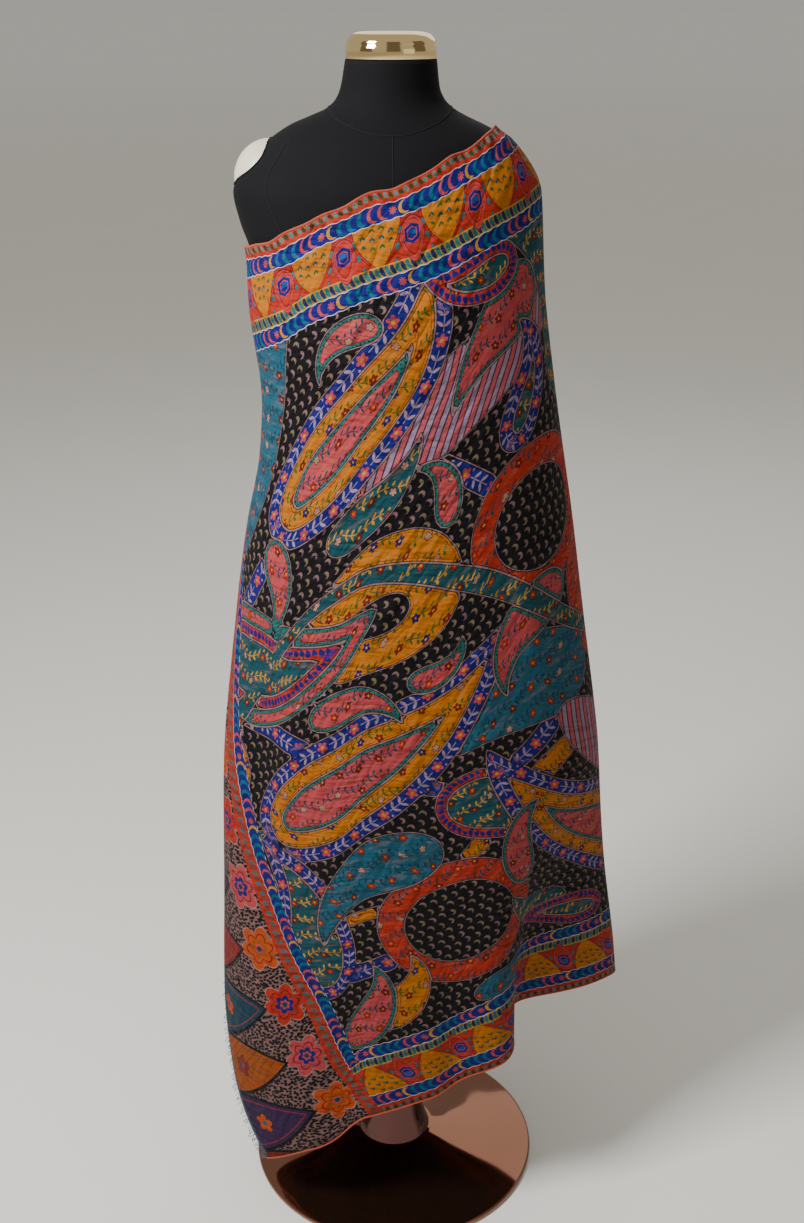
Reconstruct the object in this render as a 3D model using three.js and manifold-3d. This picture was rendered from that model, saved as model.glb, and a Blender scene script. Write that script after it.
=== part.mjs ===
// Kalamkari shawl, a rectangle of fine wool, worn over one shoulder of a limbless dress form
// that stands on a round metal base.
//
// Millimetres. +Z is up, the front faces -Y and the form's left shoulder is at +X.
// The origin is the centre of the base's flat underside.
//
// Angles go round the form's axis in degrees: 0 is the front, 90 the form's left side, 180 the
// back and -90 its right side. The shawl winds past a full turn, so its angles run on from
// -196 at the upper corner of its free end to 324 at the lower corner that is tucked under.

import * as THREE from "three";
import { mergeVertices } from "three/addons/utils/BufferGeometryUtils.js";
import Module from "manifold-3d";

const wasm = await Module();
wasm.setup();

// ---------------------------------------------------------------- driving dimensions

const SEAT_GAP = 0.3; // between pieces that sit on each other
const CLOTH_WALL = 2.0; // thickness of the shawl's wall
const CLOTH_GAP = 1.8; // from the form to the cloth that lies on it
const LAP_LIFT = 9; // how far the free end lies over the tucked end
const TUCK_DEPTH = 42; // how far inwards the tucked end hangs at its lower corner
const FRINGE_GAP = 0.8; // from the free end to the strip that carries its fringe
const FRINGE_LENGTH = 18;
const FRINGE_STRIP = 5; // width of the strip that carries the fringe
const FRONT_ROWS = 26; // rows of faces down the front stretch

const BASE_RADIUS = 183;
const BASE_EDGE = 5; // height of the base's rim
const DOME_TOP = 31; // height at which the base's low dome meets the bell
const BELL_FOOT_RADIUS = 47;
const BELL_TOP = 112; // height at which the bell meets its collar
const COLLAR_RADIUS = 27;
const COLLAR_HEIGHT = 20;
const POLE_RADIUS = 16;
const HIP_PLATE_RADIUS = 70;
const HIP_PLATE_HEIGHT = 8;
const TORSO_BOTTOM = 612;
const NECK_TOP = 1372;
const NECK_RADIUS = 46.3;
const CAP_BAND = 14; // height of the neck cap's straight band
const CAP_DOME = 13; // height of the dome above it

// ---------------------------------------------------------------- section tables

// The form, from hips to neck: its reach from the axis to its left, right, front and back.
const BODY_COLUMNS = ["z", "left", "right", "front", "back"];
const BODY = [
  [612, 150, 150, 88, 108],
  [640, 158, 156, 95, 118],
  [740, 160, 157, 98, 122],
  [840, 137, 137, 92, 100],
  [930, 117, 117, 88, 83],
  [1000, 124, 124, 98, 87],
  [1080, 140, 139, 118, 96],
  [1130, 146, 144.5, 120, 102],
  [1180, 149, 147.5, 111, 105],
  [1215, 151, 158.5, 104, 105],
  [1243, 150.5, 164, 98, 101],
  [1256, 146, 160, 94, 98],
  [1268, 139, 149, 89, 94],
  [1279, 131.5, 138, 83, 89],
  [1287, 127, 131.5, 78, 84],
  [1295, 121, 125, 73, 79],
  [1302, 110, 115.5, 68, 74],
  [1310, 94, 102, 62, 68],
  [1318, 76.5, 82.5, 57, 62],
  [1325, 64, 66.5, 53.5, 57.5],
  [1334, 54.5, 56.5, 50.5, 53.5],
  [1345, 49.5, 51.5, 48.4, 49.7],
  [NECK_TOP, NECK_RADIUS, NECK_RADIUS, NECK_RADIUS, NECK_RADIUS],
];

// The room that the hanging shawl takes: its reach to each side of the form's axis.
const DRAPE_COLUMNS = ["z", "left", "right", "front", "back"];
const DRAPE = [
  [-200, 310, 210, 158, 192],
  [100, 303, 208, 156, 190],
  [250, 295, 205, 152, 184],
  [420, 268, 198, 146, 172],
  [580, 247, 191, 141, 160],
  [740, 223, 176, 135, 146],
  [880, 201, 160, 129, 129],
  [970, 186, 143, 124, 116],
  [1050, 173, 138, 121, 108],
  [1130, 161, 145, 115, 100],
  [1200, 154, 140, 88, 88],
  [1254, 146, 110, 70, 78],
  [1270, 138, 95, 62, 70],
  [1285, 124, 80, 55, 60],
  [1300, 92, 60, 45, 50],
  [1330, 40, 40, 30, 30],
];

// The shawl's two long edges, by angle: height of the upper edge and of the lower one. Where
// the cloth has already ended, the heights are those of the edge's line carried on.
const EDGE_COLUMNS = ["angle", "top", "bottom"];
const EDGES = [
  [-215, 1171, -190],
  [-180, 1171, -140],
  [-150, 1173, -90],
  [-120, 1178, -45],
  [-90, 1186, 5],
  [-54, 1209, 75],
  [-37, 1230, 113],
  [-25, 1240, 137],
  [-11, 1250, 172],
  [4, 1258, 188],
  [25, 1271, 209],
  [45, 1286, 240],
  [60, 1296, 252],
  [80, 1304, 261],
  [90, 1305, 260],
  [100, 1303, 246],
  [120, 1286, 236],
  [140, 1262, 228],
  [160, 1234, 215],
  [180, 1206, 198],
  [200, 1180, 182],
  [216, 1160, 170],
  [240, 1135, 150],
  [270, 1110, 132],
  [306, 1095, 125],
  [330, 1085, 142],
];

// The line of the free end, by the share of the cloth's width down from its upper edge.
const END_COLUMNS = ["share", "angle"];
const END_LINE = [
  [0, -196],
  [0.245, -162],
  [0.465, -133],
  [0.62, -112],
  [0.72, -98],
  [0.82, -82],
  [0.91, -71],
  [1, -55],
];

// The large folds. Each is a trough that runs down from the height "from" on the angle "high",
// is deepest at "full" and then keeps its depth, or fades out again at "until". "before" and
// "after" are its half widths in degrees on its two sides, and a negative depth is a ridge.
const FOLD_COLUMNS = ["high", "low", "from", "full", "until", "depth", "before", "after"];
const FOLDS = [
  [73, 75, 640, 205, -900, 112, 33, 24], // the deep step beside the front panel
  [-66, -60, 860, 700, 420, 9, 16, 15], // shallow hollow beside the right edge of the front
  [22, 30, 520, 200, -900, 9, 14, 13], // soft waves in the front panel's hem
  [-14, -22, 420, 160, -900, 7, 14, 15],
  [122, 136, 1100, 400, -900, 20, 15, 15],
  [140, 172, 1120, 400, -900, 30, 16, 17],
  [160, 208, 1100, 400, -900, 34, 17, 17],
  [182, 242, 1060, 400, -900, 30, 16, 17],
];

// ---------------------------------------------------------------- small maths

const radians = THREE.MathUtils.degToRad;
const smoothstep = THREE.MathUtils.smoothstep;
const lerp = THREE.MathUtils.lerp;

/** Reads the row of a table at a key, each column on its own smooth monotone curve. */
function tableReader(columns, rows) {
  const keys = rows.map((row) => row[0]);
  const slopes = columns.map((_, c) => {
    const steps = rows.slice(1).map((row, i) => (row[c] - rows[i][c]) / (keys[i + 1] - keys[i]));
    return rows.map((_, i) => {
      if (i === 0) return steps[0];
      if (i === rows.length - 1) return steps[i - 1];
      const before = steps[i - 1];
      const after = steps[i];
      return before * after <= 0 ? 0 : (2 * before * after) / (before + after);
    });
  });
  return (key) => {
    const at = THREE.MathUtils.clamp(key, keys[0], keys[keys.length - 1]);
    let i = 0;
    while (i < keys.length - 2 && at > keys[i + 1]) i += 1;
    const span = keys[i + 1] - keys[i];
    const t = (at - keys[i]) / span;
    const found = {};
    columns.forEach((column, c) => {
      const rise = 3 * t * t - 2 * t * t * t;
      found[column] =
        lerp(rows[i][c], rows[i + 1][c], rise) +
        span * (slopes[c][i] * t * (1 - t) * (1 - t) - slopes[c][i + 1] * t * t * (1 - t));
    });
    return found;
  };
}

const bodyAt = tableReader(BODY_COLUMNS, BODY);
const drapeAt = tableReader(DRAPE_COLUMNS, DRAPE);
const edgeAt = tableReader(EDGE_COLUMNS, EDGES);
const endAt = tableReader(END_COLUMNS, END_LINE);
const folds = FOLDS.map((row) => Object.fromEntries(FOLD_COLUMNS.map((name, c) => [name, row[c]])));

/** The larger of two lengths, rounded over where they are nearly equal. */
function softMax(a, b, reach) {
  const near = Math.max(reach - Math.abs(a - b), 0) / reach;
  return Math.max(a, b) + (near * near * reach) / 4;
}

/** Distance from the axis to an oval with that reach to the side and to the front or back. */
function ovalRadius(angle, side, depth) {
  return 1 / Math.hypot(Math.sin(angle) / side, Math.cos(angle) / depth);
}

// ---------------------------------------------------------------- the form

/** The form's radius at an angle in degrees and a height. */
function bodyRadius(degrees, z) {
  const angle = radians(degrees);
  const row = bodyAt(z);
  const side = Math.sin(angle) > 0 ? row.left : row.right;
  return ovalRadius(angle, side, Math.cos(angle) > 0 ? row.front : row.back);
}

function pointAt(degrees, radius, z) {
  const angle = radians(degrees);
  return new THREE.Vector3(radius * Math.sin(angle), -radius * Math.cos(angle), z);
}

/** A closed solid lofted through rings of points, each ring closed with a flat lid at its end. */
function loftedSolid(rings) {
  const count = rings[0].length;
  const points = rings.flat();
  const faces = [];
  for (let j = 0; j < rings.length - 1; j += 1) {
    for (let i = 0; i < count; i += 1) {
      const a = j * count + i;
      const b = j * count + ((i + 1) % count);
      faces.push(a, b, b + count, a, b + count, a + count);
    }
  }
  const top = (rings.length - 1) * count;
  for (let i = 1; i < count - 1; i += 1) {
    faces.push(0, i + 1, i);
    faces.push(top, top + i, top + i + 1);
  }
  return meshGeometry(points, faces);
}

function meshGeometry(points, faces) {
  const geometry = new THREE.BufferGeometry().setFromPoints(points);
  geometry.setIndex(faces);
  return geometry;
}

/** The form's covered body, grown by some millimetres all round. */
function torsoGeometry(grown = 0) {
  const around = 40;
  const heights = [612, 640, 690, 740, 840, 930, 1000, 1080, 1130, 1180, 1215, 1243, 1256];
  heights.push(1268, 1279, 1287, 1295, 1302, 1310, 1318, 1325, 1334, 1345, NECK_TOP);
  const rings = heights.map((z) =>
    Array.from({ length: around }, (_, i) => {
      const degrees = (360 * i) / around;
      return pointAt(degrees, bodyRadius(degrees, z) + grown, z);
    }),
  );
  return loftedSolid(rings);
}

function neckCapGeometry() {
  const dome = new THREE.SplineCurve([
    new THREE.Vector2(NECK_RADIUS, CAP_BAND),
    new THREE.Vector2(NECK_RADIUS - 1.4, CAP_BAND + 4),
    new THREE.Vector2(NECK_RADIUS - 5.5, CAP_BAND + 8.8),
    new THREE.Vector2(NECK_RADIUS - 16, CAP_BAND + 12),
    new THREE.Vector2(0, CAP_BAND + CAP_DOME),
  ]).getPoints(8);
  dome[dome.length - 1].x = 0;
  const profile = [new THREE.Vector2(0, 0), new THREE.Vector2(NECK_RADIUS, 0), ...dome];
  return uprightLathe(profile, 32);
}

/** A turned solid about +Z from a profile of (radius, height) that starts and ends on the axis. */
function uprightLathe(profile, segments) {
  return new THREE.LatheGeometry(profile, segments).rotateX(Math.PI / 2);
}

/** The pale end of the right shoulder, which shows beyond the cover's cut-away corner. */
function shoulderEndGeometry() {
  const egg = new THREE.SphereGeometry(1, 28, 18).scale(38, 36, 40).translate(-125, 4, 1256);
  const cut = solidOf(egg).subtract(solidOf(torsoGeometry(SEAT_GAP)));
  const bodies = cut.decompose().sort((a, b) => b.volume() - a.volume());
  return geometryOf(bodies[0]);
}

function solidOf(geometry) {
  const bare = new THREE.BufferGeometry().setAttribute("position", geometry.getAttribute("position"));
  bare.setIndex(geometry.getIndex());
  const merged = mergeVertices(bare, 1e-3);
  return new wasm.Manifold(
    new wasm.Mesh({
      numProp: 3,
      vertProperties: new Float32Array(merged.attributes.position.array),
      triVerts: new Uint32Array(merged.index.array),
    }),
  );
}

function geometryOf(solid) {
  const mesh = solid.getMesh();
  const geometry = new THREE.BufferGeometry();
  geometry.setAttribute("position", new THREE.BufferAttribute(mesh.vertProperties, 3));
  geometry.setIndex(new THREE.BufferAttribute(mesh.triVerts, 1));
  return geometry;
}

// ---------------------------------------------------------------- the stand

function baseGeometry() {
  const dome = new THREE.SplineCurve([
    new THREE.Vector2(BASE_RADIUS - 1.5, BASE_EDGE + 1.5),
    new THREE.Vector2(152, 11),
    new THREE.Vector2(112, 17),
    new THREE.Vector2(76, 24),
    new THREE.Vector2(BELL_FOOT_RADIUS + 3, DOME_TOP),
  ]).getPoints(9);
  const profile = [new THREE.Vector2(0, 0), new THREE.Vector2(BASE_RADIUS - 2, 0)];
  profile.push(new THREE.Vector2(BASE_RADIUS, 2), new THREE.Vector2(BASE_RADIUS, BASE_EDGE));
  profile.push(...dome, new THREE.Vector2(0, DOME_TOP));
  return uprightLathe(profile, 52);
}

function bellGeometry(bottom) {
  const flare = new THREE.SplineCurve([
    new THREE.Vector2(BELL_FOOT_RADIUS, bottom),
    new THREE.Vector2(39, 56),
    new THREE.Vector2(32, 86),
    new THREE.Vector2(COLLAR_RADIUS + 2, BELL_TOP),
  ]).getPoints(7);
  return uprightLathe([new THREE.Vector2(0, bottom), ...flare, new THREE.Vector2(0, BELL_TOP)], 36);
}

function cylinderGeometry(radius, bottom, top, segments = 32) {
  const cylinder = new THREE.CylinderGeometry(radius, radius, top - bottom, segments);
  return cylinder.rotateX(Math.PI / 2).translate(0, 0, (bottom + top) / 2);
}

// ---------------------------------------------------------------- the shawl

/** How deep the folds are at an angle and a height. */
function foldDepth(degrees, z) {
  let depth = 0;
  for (const fold of folds) {
    const down = smoothstep(fold.from - z, 0, fold.from - fold.full);
    const fade = fold.until > -900 ? 1 - smoothstep(fold.full - z, 0, fold.full - fold.until) : 1;
    const middle = lerp(fold.high, fold.low, down);
    const turned = ((((degrees - middle) % 360) + 540) % 360) - 180;
    const across = turned < 0 ? turned / fold.before : turned / fold.after;
    if (down > 0 && Math.abs(across) < 1) {
      depth += fold.depth * down * fade * Math.cos((across * Math.PI) / 2) ** 2;
    }
  }
  return depth;
}

/** The surface that the shawl hangs on: the form where it touches it, and its own hang elsewhere. */
function hangPoint(degrees, z) {
  const angle = radians(degrees);
  const row = drapeAt(z);
  const side = Math.sin(angle) > 0 ? row.left : row.right;
  const free = ovalRadius(angle, side, Math.cos(angle) > 0 ? row.front : row.back);
  const reach = 15;
  return pointAt(degrees, softMax(free - foldDepth(degrees, z), bodyRadius(degrees, z), reach), z);
}

function hangNormal(degrees, z) {
  const step = 0.5;
  const along = hangPoint(degrees + step, z).sub(hangPoint(degrees - step, z));
  const up = hangPoint(degrees, z + step).sub(hangPoint(degrees, z - step));
  return along.cross(up).normalize();
}

/** The height at a share of the way, along the cloth, from its upper to its lower edge. */
function heightAt(degrees, share) {
  const steps = 120;
  const edge = edgeAt(degrees);
  const heights = Array.from({ length: steps + 1 }, (_, i) => lerp(edge.top, edge.bottom, i / steps));
  const walked = [0];
  let before = hangPoint(degrees, heights[0]);
  for (let i = 1; i <= steps; i += 1) {
    const here = hangPoint(degrees, heights[i]);
    walked.push(walked[i - 1] + here.distanceTo(before));
    before = here;
  }
  const wanted = share * walked[steps];
  let i = 1;
  while (i < steps && walked[i] < wanted) i += 1;
  const part = (wanted - walked[i - 1]) / (walked[i] - walked[i - 1]);
  return lerp(heights[i - 1], heights[i], part);
}

// Angles of the cloth's own lines at a share of its width from the upper edge: its free end, the
// line at the form's left side where the front stretch turns into the back one, and the tucked end.
const freeEnd = (share) => endAt(share).angle;
const turnLine = (share) => 100 + 30 * share;
const lapAngle = (share) => 60 - 42 * share;
const tuckedEnd = (share) => freeEnd(share) + 360 + lapAngle(share);

/** How far the front stretch stands off the form's side of the cloth, over the tucked end. */
function frontLift(degrees, share) {
  const past = degrees - freeEnd(share);
  const lap = lapAngle(share);
  return CLOTH_GAP + LAP_LIFT * (1 - smoothstep(past, lap + 2, lap + 24));
}

/** The two points, inside and outside, of a cloth wall at an angle, a share down and a lift. */
function wallPoints(degrees, share, lift) {
  const z = heightAt(degrees, share);
  const at = hangPoint(degrees, z);
  const normal = hangNormal(degrees, z);
  return {
    inner: at.clone().addScaledVector(normal, lift),
    outer: at.clone().addScaledVector(normal, lift + CLOTH_WALL),
  };
}

/** A closed wall from a grid of inner and outer points, columns along the cloth and rows down it. */
function wallGeometry(grid) {
  const columns = grid.length;
  const rows = grid[0].length;
  const points = [
    ...grid.flatMap((column) => column.map((pair) => pair.outer)),
    ...grid.flatMap((column) => column.map((pair) => pair.inner)),
  ];
  const outer = (i, j) => i * rows + j;
  const inner = (i, j) => columns * rows + i * rows + j;
  const faces = [];
  const quad = (a, b, c, d) => faces.push(a, b, c, a, c, d);
  for (let i = 0; i < columns - 1; i += 1) {
    for (let j = 0; j < rows - 1; j += 1) {
      quad(outer(i, j), outer(i, j + 1), outer(i + 1, j + 1), outer(i + 1, j));
      quad(inner(i, j), inner(i + 1, j), inner(i + 1, j + 1), inner(i, j + 1));
    }
    const last = rows - 1;
    quad(outer(i, 0), outer(i + 1, 0), inner(i + 1, 0), inner(i, 0));
    quad(outer(i, last), inner(i, last), inner(i + 1, last), outer(i + 1, last));
  }
  for (let j = 0; j < rows - 1; j += 1) {
    const last = columns - 1;
    quad(outer(0, j), inner(0, j), inner(0, j + 1), outer(0, j + 1));
    quad(outer(last, j), outer(last, j + 1), inner(last, j + 1), inner(last, j));
  }
  return meshGeometry(points, faces);
}

/** Shares down the cloth, closer together near the shoulder, where it bends most. */
function rowShares(count) {
  const first = 0.35;
  return Array.from({ length: count + 1 }, (_, j) => {
    const t = j / count;
    return t * (first + (1 - first) * t);
  });
}

/** A stretch of the cloth between lines down it, with so many columns from each to the next. */
function stretchGeometry(lines, counts, rows, lift) {
  const shares = rowShares(rows);
  const columns = counts.flatMap((count, k) =>
    Array.from({ length: count }, (_, i) => ({ k, part: i / count })),
  );
  columns.push({ k: counts.length - 1, part: 1 });
  const grid = columns.map(({ k, part }) =>
    shares.map((share) => {
      const degrees = lerp(lines[k](share), lines[k + 1](share), part);
      return wallPoints(degrees, share, lift(degrees, share));
    }),
  );
  return wallGeometry(grid);
}

function frontGeometry() {
  const seam = (share) => turnLine(share) - seamAngle(share) / 2;
  const stepStart = (share) => lerp(40, 43, share);
  const stepEnd = (share) => lerp(86, 101, share);
  return stretchGeometry([freeEnd, stepStart, stepEnd, seam], [28, 15, 5], FRONT_ROWS, frontLift);
}

function backGeometry() {
  const seam = (share) => turnLine(share) + seamAngle(share) / 2;
  return stretchGeometry([seam, tuckedEnd], [34], 22, (degrees, share) => {
    const low = smoothstep(share, 0.55, 0.9);
    return CLOTH_GAP - TUCK_DEPTH * low * smoothstep(degrees, 250, 285);
  });
}

/** The angle that the gap between the two stretches takes up. */
function seamAngle(share) {
  const degrees = turnLine(share);
  const at = hangPoint(degrees, heightAt(degrees, share));
  return THREE.MathUtils.radToDeg(SEAT_GAP / Math.hypot(at.x, at.y));
}

/** The fringe's strip where it meets a row of the front stretch's faces. */
function fringeRow(share) {
  const end = freeEnd(share);
  const z = heightAt(end, share);
  const at = hangPoint(end, z);
  const turn = (distance) => THREE.MathUtils.radToDeg(distance / Math.hypot(at.x, at.y));
  const lift = frontLift(end, share);
  return {
    root: wallPoints(end - turn(FRINGE_GAP), share, lift),
    rim: wallPoints(end - turn(FRINGE_GAP + FRINGE_STRIP), share, lift),
    tipAngle: end - turn(FRINGE_GAP + FRINGE_STRIP + FRINGE_LENGTH),
    lift,
    z,
  };
}

/** About so many rows down the fringe's strip, straight from each row of the front to the next. */
function fringeRows(wanted) {
  const shares = rowShares(FRONT_ROWS);
  const rows = shares.map(fringeRow);
  const pair = (a, b, t) => ({
    outer: a.outer.clone().lerp(b.outer, t),
    inner: a.inner.clone().lerp(b.inner, t),
  });
  const between = (a, b, t) => ({
    root: pair(a.root, b.root, t),
    rim: pair(a.rim, b.rim, t),
    tipAngle: lerp(a.tipAngle, b.tipAngle, t),
    lift: lerp(a.lift, b.lift, t),
    z: lerp(a.z, b.z, t),
  });
  const strip = rows.slice(1).flatMap((below, k) => {
    const count = Math.max(1, Math.round((shares[k + 1] - shares[k]) * wanted));
    return Array.from({ length: count }, (_, i) => between(rows[k], below, i / count));
  });
  return [...strip, rows[rows.length - 1]];
}

/** Pointed locks of thread on a narrow strip along the free end. */
function fringeGeometry() {
  const droop = 7; // how far a lock's tip hangs below its root
  const strip = fringeRows(96);
  const locks = strip.length - 1;
  const points = strip.flatMap((row) => [row.root.outer, row.root.inner, row.rim.outer, row.rim.inner]);
  const faces = [];
  const quad = (a, b, c, d) => faces.push(a, b, c, a, c, d);
  const last = 4 * locks;
  for (let j = 0; j < locks; j += 1) {
    const [rootOut, rootIn, rimOut, rimIn] = [4 * j, 4 * j + 1, 4 * j + 2, 4 * j + 3];
    quad(rimOut, rimOut + 4, rootOut + 4, rootOut);
    quad(rootIn, rootIn + 4, rimIn + 4, rimIn);
    quad(rootOut, rootOut + 4, rootIn + 4, rootIn);
    const middle = lerp(strip[j].tipAngle, strip[j + 1].tipAngle, 0.5);
    const z = (strip[j].z + strip[j + 1].z) / 2 - droop;
    const tip = hangPoint(middle, z).addScaledVector(
      hangNormal(middle, z),
      strip[j].lift + CLOTH_WALL / 2,
    );
    const tipIndex = points.push(tip) - 1;
    faces.push(rimOut, rimIn, tipIndex, rimIn, rimIn + 4, tipIndex);
    faces.push(rimIn + 4, rimOut + 4, tipIndex, rimOut + 4, rimOut, tipIndex);
  }
  quad(0, 1, 3, 2);
  quad(last, last + 2, last + 3, last + 1);
  return meshGeometry(points, faces);
}

// ---------------------------------------------------------------- the assembly

const finish = (color, roughness, metalness = 0) =>
  new THREE.MeshStandardMaterial({ color, roughness, metalness });

const roseMetal = finish(0xb98a66, 0.12, 1);
const goldMetal = finish(0xd3ab5c, 0.14, 1);
const blackJersey = finish(0x16151a, 0.9);
const paleShell = finish(0xdcd5bd, 0.55);
const printedWool = finish(0x7a4a38, 0.85);
const printedWoolBack = finish(0x5f4a4c, 0.85);
const fringeWool = finish(0x5f6f78, 0.9);

const object = new THREE.Group();

function add(name, geometry, material) {
  const mesh = new THREE.Mesh(geometry, material);
  mesh.name = name;
  object.add(mesh);
}

const collarBottom = BELL_TOP + SEAT_GAP;
const poleBottom = collarBottom + COLLAR_HEIGHT + SEAT_GAP;
const plateTop = TORSO_BOTTOM - SEAT_GAP;
const plateBottom = plateTop - HIP_PLATE_HEIGHT;

add("base", baseGeometry(), roseMetal);
add("base_bell", bellGeometry(DOME_TOP + SEAT_GAP), roseMetal);
add("base_collar", cylinderGeometry(COLLAR_RADIUS, collarBottom, collarBottom + COLLAR_HEIGHT), roseMetal);
add("pole", cylinderGeometry(POLE_RADIUS, poleBottom, plateBottom - SEAT_GAP), roseMetal);
add("hip_plate", cylinderGeometry(HIP_PLATE_RADIUS, plateBottom, plateTop, 40), roseMetal);
add("torso", torsoGeometry(), blackJersey);
add("neck_cap", neckCapGeometry().translate(0, 0, NECK_TOP + SEAT_GAP), goldMetal);
add("shoulder_end", shoulderEndGeometry(), paleShell);
add("shawl_front", frontGeometry(), printedWool);
add("shawl_back", backGeometry(), printedWoolBack);
add("end_fringe", fringeGeometry(), fringeWool);

export default object;
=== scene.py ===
"""A kalamkari shawl worn over one shoulder of a limbless dress form on a round metal base.

Metres, +Z up, the front faces -Y and the form's left shoulder is at +X. Angles go round the form
in degrees: 0 is the front, 90 the form's left side, 180 the back and -90 its right side.
"""

import sys
import logging
import math
from dataclasses import dataclass, field
from enum import Enum
from typing import Callable, Optional, Sequence, Union

import bpy
import numpy as np
from bpy.types import Material, Node, NodeInputs, NodeSocket, NodeTree, Object
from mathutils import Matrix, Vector


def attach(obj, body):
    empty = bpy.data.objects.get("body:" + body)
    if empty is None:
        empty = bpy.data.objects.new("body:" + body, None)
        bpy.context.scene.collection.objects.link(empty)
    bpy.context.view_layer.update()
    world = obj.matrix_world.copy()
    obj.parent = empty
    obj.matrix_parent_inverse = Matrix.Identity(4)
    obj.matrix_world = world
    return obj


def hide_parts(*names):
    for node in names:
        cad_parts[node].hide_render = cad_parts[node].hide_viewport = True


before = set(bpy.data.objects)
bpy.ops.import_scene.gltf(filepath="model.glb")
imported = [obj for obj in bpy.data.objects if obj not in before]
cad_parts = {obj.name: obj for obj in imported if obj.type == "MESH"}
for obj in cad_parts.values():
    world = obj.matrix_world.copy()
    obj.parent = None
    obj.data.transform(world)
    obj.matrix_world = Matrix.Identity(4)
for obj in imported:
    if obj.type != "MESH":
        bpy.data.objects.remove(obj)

LOG = logging.getLogger("shawl")
MM = 0.001
Colour = tuple[float, float, float]
Array = np.ndarray


# ---- small maths


def smoothstep(value: Array, low: float, high: float) -> Array:
    """A smooth rise from 0 at low to 1 at high."""
    t = np.clip((value - low) / (high - low), 0, 1)
    return t * t * (3 - 2 * t)


def mixed(a: Array, b: Array, t: Array) -> Array:
    """The value a share t of the way from a to b."""
    return a + (b - a) * t


def oval_radius(angle: Array, side: Array, depth: Array) -> Array:
    """Distance from the axis to an oval with that reach to the side and to the front or back."""
    return 1 / np.hypot(np.sin(angle) / side, np.cos(angle) / depth)


def directions(vectors: Array) -> Array:
    """Vectors that point the same way and are one long."""
    return vectors / np.linalg.norm(vectors, axis=-1, keepdims=True)


def soft_max(a: Array, b: Array, reach: float) -> Array:
    """The larger of two lengths, rounded over where they are nearly equal."""
    near = np.maximum(reach - np.abs(a - b), 0) / reach
    return np.maximum(a, b) + near * near * reach / 4


@dataclass(frozen=True)
class SizeTable:
    """Rows of sizes by a first column, each other column read on its own smooth monotone curve."""

    columns: tuple[str, ...]
    rows: tuple[tuple[float, ...], ...]

    def read(self, key: Array) -> dict[str, Array]:
        """Reads every column.

        Args:
            key: Values of the first column to read at.

        Returns:
            Each column's values by its name.
        """
        rows = np.array(self.rows, float)
        keys = rows[:, 0]
        steps = np.diff(rows, axis=0) / np.diff(keys)[:, None]
        slopes = np.vstack([steps[:1], steps])
        product = steps[:-1] * steps[1:]
        total = np.where(product > 0, steps[:-1] + steps[1:], 1)
        slopes[1:-1] = np.where(product > 0, 2 * product / total, 0)
        at = np.clip(np.asarray(key, float), keys[0], keys[-1])
        i = np.clip(np.searchsorted(keys, at, side="left") - 1, 0, len(keys) - 2)
        span = keys[i + 1] - keys[i]
        t = (at - keys[i]) / span
        rise = 3 * t**2 - 2 * t**3
        early, late = span * t * (1 - t) ** 2, span * t * t * (1 - t)
        return {
            name: mixed(rows[i, c], rows[i + 1, c], rise) + slopes[i, c] * early - slopes[i + 1, c] * late
            for c, name in enumerate(self.columns)
        }


# ---- forms, in millimetres

# The dress form's reach from its axis to four sides at each height.
BODY = SizeTable(
    ("z", "left", "right", "front", "back"),
    (
        (612, 150, 150, 88, 108), (640, 158, 156, 95, 118), (740, 160, 157, 98, 122),
        (840, 137, 137, 92, 100), (930, 117, 117, 88, 83), (1000, 124, 124, 98, 87),
        (1080, 140, 139, 118, 96), (1130, 146, 144.5, 120, 102), (1180, 149, 147.5, 111, 105),
        (1215, 151, 158.5, 104, 105), (1243, 150.5, 164, 98, 101), (1256, 146, 160, 94, 98),
        (1268, 139, 149, 89, 94), (1279, 131.5, 138, 83, 89), (1287, 127, 131.5, 78, 84),
        (1295, 121, 125, 73, 79), (1302, 110, 115.5, 68, 74), (1310, 94, 102, 62, 68),
        (1318, 76.5, 82.5, 57, 62), (1325, 64, 66.5, 53.5, 57.5), (1334, 54.5, 56.5, 50.5, 53.5),
        (1345, 49.5, 51.5, 48.4, 49.7), (1372, 46.3, 46.3, 46.3, 46.3),
    ),
)
# The same for the way the cloth hangs where it is clear of the form.
DRAPE = SizeTable(
    ("z", "left", "right", "front", "back"),
    (
        (-200, 310, 210, 158, 192), (100, 303, 208, 156, 190), (250, 295, 205, 152, 184),
        (420, 268, 198, 146, 172), (580, 247, 191, 141, 160), (740, 223, 176, 135, 146),
        (880, 201, 160, 129, 129), (970, 186, 143, 124, 116), (1050, 173, 138, 121, 108),
        (1130, 161, 145, 115, 100), (1200, 154, 140, 88, 88), (1254, 146, 110, 70, 78),
        (1270, 138, 95, 62, 70), (1285, 124, 80, 55, 60), (1300, 92, 60, 45, 50),
        (1330, 40, 40, 30, 30),
    ),
)
# The heights of the cloth's upper and lower edges at each angle.
EDGES = SizeTable(
    ("angle", "top", "bottom"),
    (
        (-215, 1171, -190), (-180, 1171, -140), (-150, 1173, -90),
        (-120, 1178, -45), (-90, 1186, 5), (-54, 1209, 75),
        (-37, 1230, 113), (-25, 1240, 137), (-11, 1250, 172),
        (4, 1258, 188), (25, 1271, 209), (45, 1286, 240),
        (60, 1296, 252), (80, 1304, 261), (90, 1305, 260),
        (100, 1303, 246), (120, 1286, 236), (140, 1262, 228),
        (160, 1234, 215), (180, 1206, 198), (200, 1180, 182),
        (216, 1160, 170), (240, 1135, 150), (270, 1110, 132),
        (306, 1095, 125), (330, 1085, 142),
    ),
)
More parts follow.
